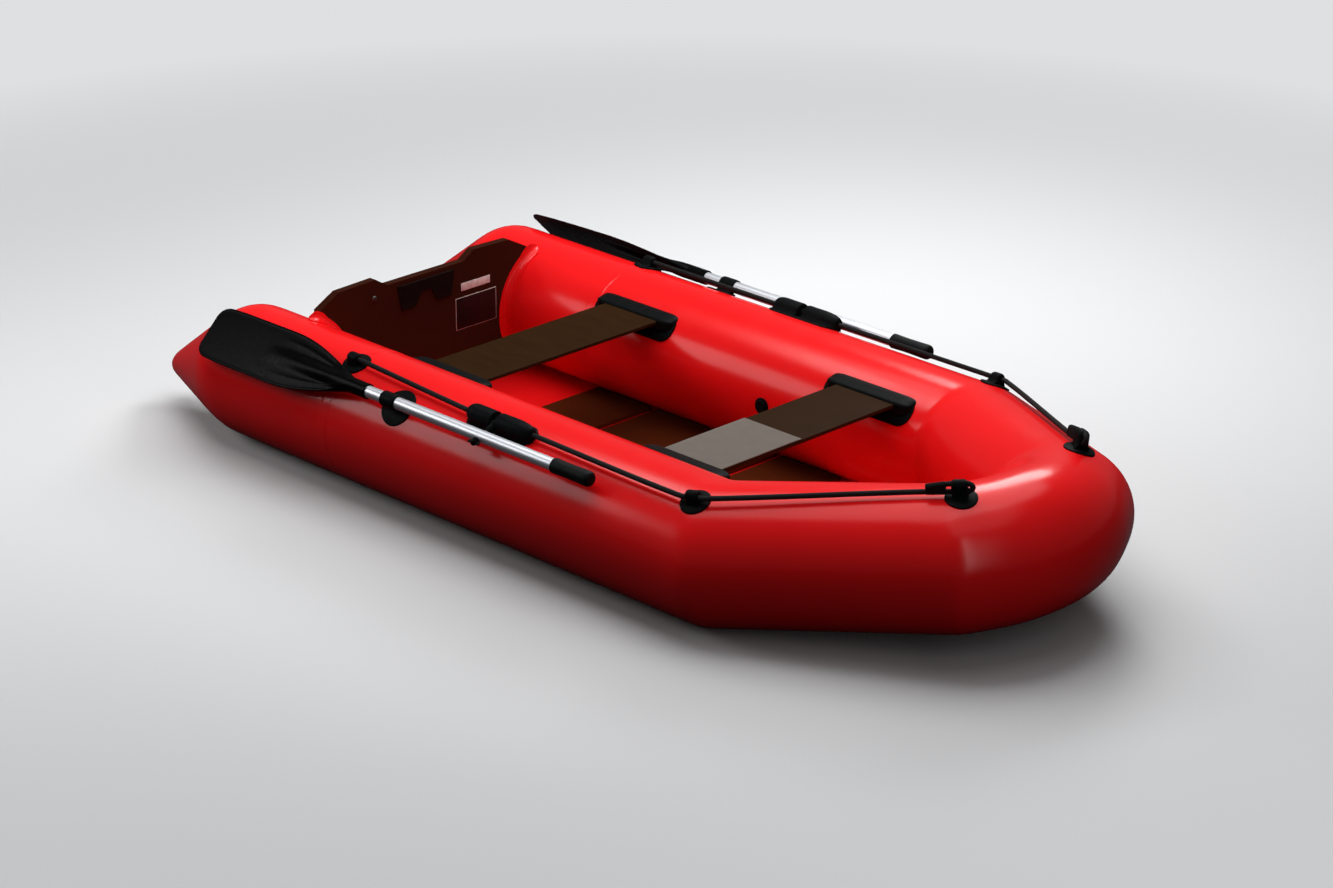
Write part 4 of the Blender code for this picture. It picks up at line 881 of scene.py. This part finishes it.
def oarShaft():
    (start, end), radius = oar["span"], oar["shaft"]
    outline = [(radius - 0.001, 0.0), (radius, 0.001)]
    outline += [(radius, (end - start) * share) for share in (0.25, 0.5, 0.75, 1)]
    return placed(turned(outline, "shaftAluminium", 64), alongShaft(start))


def oarGrip():
    (start, end), radius, roll = oar["grip"], oar["gripRadius"], oar["gripEnd"]
    length = end - start
    outline = [(oar["shaft"] - 0.001, 0.0), (oar["shaft"] + 0.001, -0.0002), (radius - 0.0012, 0.0)]
    outline += [(radius - 0.0002, 0.001), (radius, 0.003), (radius - 0.0003, 0.02), (radius - 0.001, 0.05)]
    outline += [(radius - 0.0006, 0.09), (radius, length - 0.025)]
    for turn in np.linspace(0, math.pi / 2, 8):
        outline.append((radius - roll * (1 - math.cos(turn)), length - roll + roll * math.sin(turn)))
    grip = turned(outline + [(0.003, length + 0.0002)], "gripRubber", 56)
    return placed(grip, alongShaft(start))


def bladeHalfWidth(reach):
    corner, full, width, socket = blade["corner"], blade["full"], blade["halfWidth"], blade["socket"]
    taper = (blade["mouthX"] - blade["tipX"] - blade["sleeve"] - reach) / blade["shoulder"]
    if taper < 1:
        return socket + (width - socket) * math.sin(math.pi / 2 * max(0.0, taper)) ** 1.1
    if reach < corner:
        return width * (0.55 + 0.42 * math.sqrt(1 - (1 - reach / corner) ** 2))
    if reach < full:
        return width * (0.97 + 0.03 * math.sin(math.pi / 2 * (reach - corner) / (full - corner)))
    return width


def oarBlade():
    # a thin plate with a rolled rim and two beads; its spine grows into the round socket
    socket, sleeve = blade["socket"], blade["sleeve"]
    length = blade["mouthX"] - blade["tipX"]
    tilt = math.radians(blade["tilt"])
    away = np.array((0, -math.sin(tilt), math.cos(tilt)))
    across = np.array((0, -math.cos(tilt), -math.sin(tilt)))
    reaches = blade["nearTip"] + list(np.linspace(0.06, length - sleeve, 46))
    reaches += [length - gap for gap in blade["nearMouth"]]
    turns = np.linspace(0, math.tau, 73)[:-1]
    s = np.sin(turns)
    sign = np.sign(s)
    spineStart, spineGrowth, spineHalf = blade["spine"]
    beadStart, beadGrowth, beadRise = blade["bead"]
    rings = []
    for reach in reaches:
        width = bladeHalfWidth(reach)
        blend = min(1.0, max(0.0, (length - sleeve - reach) / blade["blend"]))
        flat = socket + (blade["half"] - socket) * blend
        c = width * np.cos(turns)
        spine = (socket - 0.004) * max(0.0, min(1.0, (reach - spineStart) / spineGrowth)) * blend
        rib = spine * np.clip(1 - (c / spineHalf) ** 2, 0, 1) ** 1.5 * sign * np.minimum(1, np.abs(s) * 3)
        bead = beadRise * min(1, max(0.0, (reach - beadStart) / beadGrowth)) * blend
        bead = bead * np.exp(-((np.abs(c) - width * 0.62) / 0.004) ** 2) * sign
        rolled = blade["rim"] * np.exp(-((np.abs(c) - width + 0.004) / 0.003) ** 2) * sign * blend
        h = flat * sign * np.abs(s) ** (1 - 0.6 * blend) + rib + bead + rolled
        bow = -blade["bow"] * max(0.0, 1 - reach / 0.5) ** 2
        centre = np.array((blade["tipX"] + reach, oar["y"], oar["z"])) + bow * away
        rings.append(centre + np.outer(c, across) + np.outer(h, away))
    return lofted(rings, "bladePlastic", 55)


clipReach = Vector((0, oar["y"] + hull["halfSpacing"], oar["z"] - hull["radius"]))


def clipBase():
    # a round foot on the tube, and a post whose saddle holds the band
    seat = tubeSeat(clip["x"], math.degrees(math.atan2(-clipReach.y, clipReach.z)))
    rim = clip["disc"]
    outline = [(rim - 0.001, 0.0), (rim, 0.0008), (rim, 0.0024), (rim - 0.001, 0.0036), (rim - 0.004, 0.004)]
    outline += [(0.038, 0.0043), (0.028, 0.0048), (0.018, 0.005), (0.008, 0.005), (0.001, 0.005)]
    disc = layOnHull(turned(outline, "fittingRubber", 64), seat)
    centre = clipReach.length - hull["radius"]
    room = oar["shaft"] + clip["thick"] + 2 * clip["gap"]
    side = [(-0.016, 0.002), (-0.0135, 0.006)]
    outline = side + arc((0, centre), room, 234, 306, 11) + [(-u, v) for u, v in side[::-1]]
    post = moulded(outline, clip["half"], 0.002, "fittingRubber", 4)
    return joined([disc, placed(post, seat)])


def clipBand():
    # an open band round the shaft, thinner at its two ends
    thick, half, steps = clip["thick"], clip["half"], 48
    middle = oar["shaft"] + clip["gap"] + thick / 2
    first, last = clip["span"]
    side = [(-half + 0.0008, 0.0), (-half, 0.0008), (-half, thick - 0.002), (-half + 0.0006, thick - 0.0006)]
    side += [(-half + 0.002, thick)]
    section = side + [(x, thick + 0.0003) for x in (-half / 2, 0, half / 2)]
    section += [(-x, h) for x, h in side[::-1]] + [(0, 0.0)]
    rings = []
    for i in range(steps + 1):
        angle = math.radians(first + (last - first) * i / steps)
        out = np.array((0, math.cos(angle), math.sin(angle)))
        long, deep = (1, 1) if 0 < i < steps else (0.97, 0.6)
        spots = [(x * long, middle + (h - thick / 2) * deep) for x, h in section]
        rings.append([np.array((x, 0, 0)) + out * reach for x, reach in spots])
    seat = seatOf((clip["x"], oar["y"], oar["z"]), forward, clipReach)
    return placed(lofted(rings, "fittingRubber", 50), seat)


onBothSides(oarShaft(), "OarShaft", "{side}_oar")
onBothSides(oarGrip(), "OarGrip", "{side}_oar")
onBothSides(oarBlade(), "OarBlade", "{side}_oar")
onBothSides(clipBase(), "OarClipBase")
onBothSides(clipBand(), "OarClipBand")
print("oars made")

# seat holders, and the pad on the front seat
holder = {
    "angle": -50.5,
    "half": (0.16, 0.0448),
    "corner": 0.042,
    "root": (0.3835, 0.318),
    "frontY": 0.333,
    "backY": 0.3775,
    "z": (0.2995, 0.337),
    "endGap": 0.0065,
}
seatX = 0.457
pad = {"half": 0.10575, "y": (-0.332, -0.028), "z": 0.3303, "thick": 0.0016, "crown": 0.0006}


def holderLip(x):
    # the raised pocket round the board's end, dying away at both its ends
    (low, high), front, back = holder["z"], holder["frontY"], holder["backY"]
    outline = arc((front + 0.006, low + 0.006), 0.006, 262, 180, 6)
    outline += arc((front + 0.008, high - 0.008), 0.008, 180, 98, 9)
    outline += [(front + 0.02, high + 0.0022), (front + 0.032, high + 0.0052), (back, high + 0.007)]
    outline += [(back + 0.012, high + 0.004), (back + 0.035, high - 0.01), (back + 0.01, low - 0.012)]
    outline += [(back - 0.012, low - 0.0055), (front + 0.02, low - 0.0012)]
    outline, root = np.array(outline), np.array(holder["root"])
    half, corner, steps = holder["half"][0], holder["corner"], 12
    ends = []
    for i in range(steps + 1):
        share = 0.5 + 0.5 * math.sin(math.pi / 2 * (i / steps) ** 0.8)
        place = half - holder["endGap"] - corner * (1 - math.cos(math.pi / 2 * i / steps))
        ends.append((place, root + (outline - root) * share))
    straight = half - holder["endGap"] - corner
    places = [(-place, ring) for place, ring in ends]
    places += [(share * straight, ends[-1][1]) for share in (-0.6, -0.2, 0.2, 0.6)] + ends[::-1]
    return lofted([[(x + dx, -y, z) for y, z in ring] for dx, ring in places], "fittingRubber", 50)


def seatHolder(x):
    seat = tubeSeat(x, holder["angle"])
    return joined([padPlate(*holder["half"], holder["corner"], seat), holderLip(x)])


def seatPad():
    # a thin foam sheet with a rolled rim and a slight crown
    low, high = pad["y"]
    half, thick = pad["half"], pad["thick"]
    rows, columns = 60, 48
    rings = []
    for u in [-1 + 2 * i / rows for i in range(rows + 1)]:
        ring = []
        for turn in [math.tau * j / columns for j in range(columns)]:
            c, s = math.cos(turn), math.sin(turn)
            across = math.copysign(abs(c) ** 0.12, c) * half
            full = 0.25 + 0.75 * (1 - abs(u) ** 18)
            height = thick + math.copysign(abs(s) ** 0.5, s) * thick * full
            if s > 0:
                height += pad["crown"] * (1 - (across / half) ** 4) * (1 - u ** 4)
            ring.append((seatX + across, (low + high) / 2 + u * (high - low) / 2, pad["z"] + height))
        rings.append(ring)
    return lofted(rings, "padGrey", 60)


onBothSides(seatHolder(-seatX), "AftSeatHolder")
onBothSides(seatHolder(seatX), "FrontSeatHolder")
settle(seatPad(), "seatPad", "hull", "pad_foam", "seat_pad")
print("seat holders and pad made")

# two plain plates on the transom, and the strips that glue the board to the tubes
plates = {
    "faceX": -0.9697,
    "sunk": 0.0002,
    "roll": 0.0004,
    "pale": (0.137, 0.311, 0.251, 0.335, 0.0008),  # low y, low z, high y, high z, thickness
    "dark": (0.116, 0.194, 0.2735, 0.2905, 0.001),
    "border": 0.0013,
}
flange = {
    "span": (-16.0, -145.0),
    "onBoard": 0.021,
    "onTube": 0.027,
    "thick": 0.0018,
    "gap": 0.0003,
    "ear": 0.0075,
    "earLength": 20.0,
    "easeOver": 7.0,
}


def thinPlate(name, yLow, zLow, yHigh, zHigh, thick, finish, slot):
    face = plates["faceX"]
    low, high = (face - plates["sunk"], yLow, zLow), (face + thick, yHigh, zHigh)
    settle(block(low, high, plates["roll"], finish), name, "hull", slot)


def transomFlange():
    # a coated strip glued into the corner of the board and the tube, with an ear at its top
    thick = flange["thick"]
    first, last = flange["span"]
    low = hull["radius"] + flange["gap"]
    centre = np.array((plates["faceX"], -hull["halfSpacing"], hull["radius"]))
    rings = []
    for angle in np.linspace(first, last, 73):
        fromTop, fromEnd = first - angle, angle - last
        ease = math.sin(math.pi / 2 * min(1.0, fromTop / flange["easeOver"], fromEnd / flange["easeOver"]))
        reach = hull["radius"] + flange["onBoard"] * (0.4 + 0.6 * ease)
        if fromTop < flange["earLength"]:
            reach += flange["ear"] * math.sin(math.pi * fromTop / flange["earLength"])
        end = flange["onTube"] * (0.4 + 0.6 * ease)
        section = [(low, 0.0), (reach, 0.0), (reach, thick * 0.7)]
        for turn in np.linspace(0.05, math.pi / 2, 12):
            across = reach - (reach - low - thick) * math.sin(turn)
            section.append((across, end - (end - thick) * math.cos(turn)))
        section.append((low, end))
        turn = math.radians(angle)
        away = np.array((0, -math.sin(turn), math.cos(turn)))
        rings.append([centre + r * away + (x, 0, 0) for r, x in section])
    return lofted(rings, "hullRed", 50)


thinPlate("palePlate", *plates["pale"], "paleEnamel", "shaft_aluminium")
thinPlate("darkPlate", *plates["dark"], "darkEnamel", "blade_plastic")
yLow, zLow, yHigh, zHigh, thick = plates["dark"]
out = plates["border"]
thinPlate("darkPlateBorder", yLow - out, zLow - out, yHigh + out, zHigh + out, thick * 0.6,
          "paleEnamel", "shaft_aluminium")
onBothSides(transomFlange(), "TransomFlange")
print("plates and flanges made")

# valves, one on the inner side of each tube
valve = {
    "x": 0.095,
    "angle": -87.0,
    "barrel": 0.0165,
    "flange": 0.025,
    "cap": 0.0185,
    "notches": 6,
    "notch": 0.0016,
    "bar": ((-0.0105, -0.002, 0.006), (0.0105, 0.002, 0.0108), 0.0012),
}


def valveBody():
    rim, barrel = valve["flange"], valve["barrel"]
    outline = [(rim - 0.002, -0.004), (rim, 0.0006), (rim, 0.0016), (rim - 0.001, 0.003)]
    outline += [(rim - 0.003, 0.0042), (barrel + 0.001, 0.0042)]
    outline += [(radius, 0.0036) for radius in (barrel, 0.012, 0.002)]
    return placed(turned(outline, "fittingRubber", 56), tubeSeat(valve["x"], valve["angle"]))


def valveCap():
    rim = valve["cap"]
    outline = [(rim - 0.002, 0.0038), (rim, 0.0045), (rim, 0.0078), (rim - 0.0006, 0.0088)]
    outline += [(rim - 0.002, 0.0094), (0.013, 0.0094), (0.012, 0.0088), (0.009, 0.0086), (0.003, 0.0086)]
    cap = turned(outline, "fittingRubber", 72)
    for vertex in cap.data.vertices:  # finger notches in the rim
        radius = vertex.co.xy.length
        if radius > rim - 0.003:
            turn = math.atan2(vertex.co.y, vertex.co.x)
            dip = max(0.0, math.cos(valve["notches"] * turn)) ** 6 * valve["notch"]
            vertex.co.xy *= (radius - dip) / radius
    whole = joined([cap, block(*valve["bar"], "fittingRubber")])
    return placed(whole, tubeSeat(valve["x"], valve["angle"]))


onBothSides(valveBody(), "ValveBody")
onBothSides(valveCap(), "ValveCap", "{side}_cap")
print("valves made")

# finishes of the sheets, boards and small pieces that stay as built, by their slot in the frame
asBuilt = {
    "floor_red": "floorRed",
    "transom_wood": "transomWood",
    "floorboard_wood": "floorWood",
    "seat_wood": "seatWood",
    "clamp_rubber": "clampRubber",
    "bolt_steel": "boltSteel",
    "blade_plastic": "bladePlastic",
}
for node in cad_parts.values():
    if not node.hide_render:
        for slot in node.material_slots:
            slot.material = finishes[asBuilt[slot.material.name.split(".")[0]]]
print("finishes on the pieces as built")

# pale paper for a floor, soft lamps and a dim world
lamps = {
    "over": {"size": (5.6, 4.2), "place": (-0.6, 0.45, 4.1), "watts": 150},
    "fore": {"size": (3.2, 3.2), "place": (1.7, -0.4, 4.2), "watts": 21},
    "left": {"size": (1.9, 1.5), "place": (-2.75, -2.4, 1.85), "watts": 27},
    "inner": {"size": (1.5, 0.5), "place": (-2.0, 0.0, 3.3), "watts": 8},
    "back": {"size": (1.8, 1.5), "place": (-0.95, 2.65, 2.85), "watts": 66},
    "front": {"size": (0.24, 3.4), "place": (3.95, -1.3, 2.1), "watts": 14},
}
studio = {
    "aim": (0, 0, 0.2),
    "world": 0.03,
    "gloss": 0.15,
    "even": (1.8, 4.6),
    "evenColour": (0.73, 0.74, 0.75),
    "paper": (0.72, 0.73, 0.74),
    "bounce": (0.05, 0.05, 0.055),
    "floorSize": 160,
}
black = (0, 0, 0)


def layFloor():
    # the camera sees pale paper, which is lit near the boat and evenly pale further out
    bpy.ops.object.select_all(action="DESELECT")
    bpy.ops.mesh.primitive_plane_add(size=studio["floorSize"])
    floor = bpy.context.object
    floor.name = "studioFloor"
    paint = Finish("floorPaint", Roughness=0.9, Specular_IOR_Level=0.1, Emission_Strength=1.0)
    seen = paint.node("ShaderNodeLightPath", out="Is Camera Ray")
    reach = paint.node("ShaderNodeVectorMath", {"operation": "LENGTH"}, (paint.place(),), "Value")
    far = paint.spread(reach, *studio["even"]) * seen
    near = paint.blend(seen, studio["bounce"], studio["paper"])
    paint.feed("Base Color", paint.blend(far, near, black))
    paint.feed("Emission Color", paint.blend(far, black, studio["evenColour"]))
    floor.data.materials.append(paint.data)


def softLight(name, facts):
    bpy.ops.object.light_add(type="AREA", location=facts["place"])
    lamp = bpy.context.object
    lamp.name = name
    lamp.data.shape = "ELLIPSE"
    lamp.data.size, lamp.data.size_y = facts["size"]
    lamp.data.energy = facts["watts"]
    lamp.visible_camera = False
    look = Vector(studio["aim"]) - Vector(facts["place"])
    lamp.rotation_euler = look.to_track_quat("-Z", "Y").to_euler()


def setWorld():
    # dim as a light, a little brighter in the gloss, white to the camera and through anything clear
    sky = Nodes(bpy.data.worlds.new("studio"), "Background")
    bpy.context.scene.world = sky.data
    glossy = sky.node("ShaderNodeLightPath", out="Is Glossy Ray")
    strength = sky.spread(glossy, 0.0, 1.0, studio["world"], studio["gloss"])
    for ray in ("Is Camera Ray", "Is Transmission Ray"):
        strength = strength.maths("MAXIMUM", strength, sky.node("ShaderNodeLightPath", out=ray))
    sky.feed("Strength", strength)
    sky.shader.inputs["Color"].default_value = (1, 1, 1, 1)


layFloor()
for name, facts in lamps.items():
    softLight(name + "Softbox", facts)
setWorld()
bpy.context.scene.view_settings.view_transform = "Standard"
print("floor and lights set")
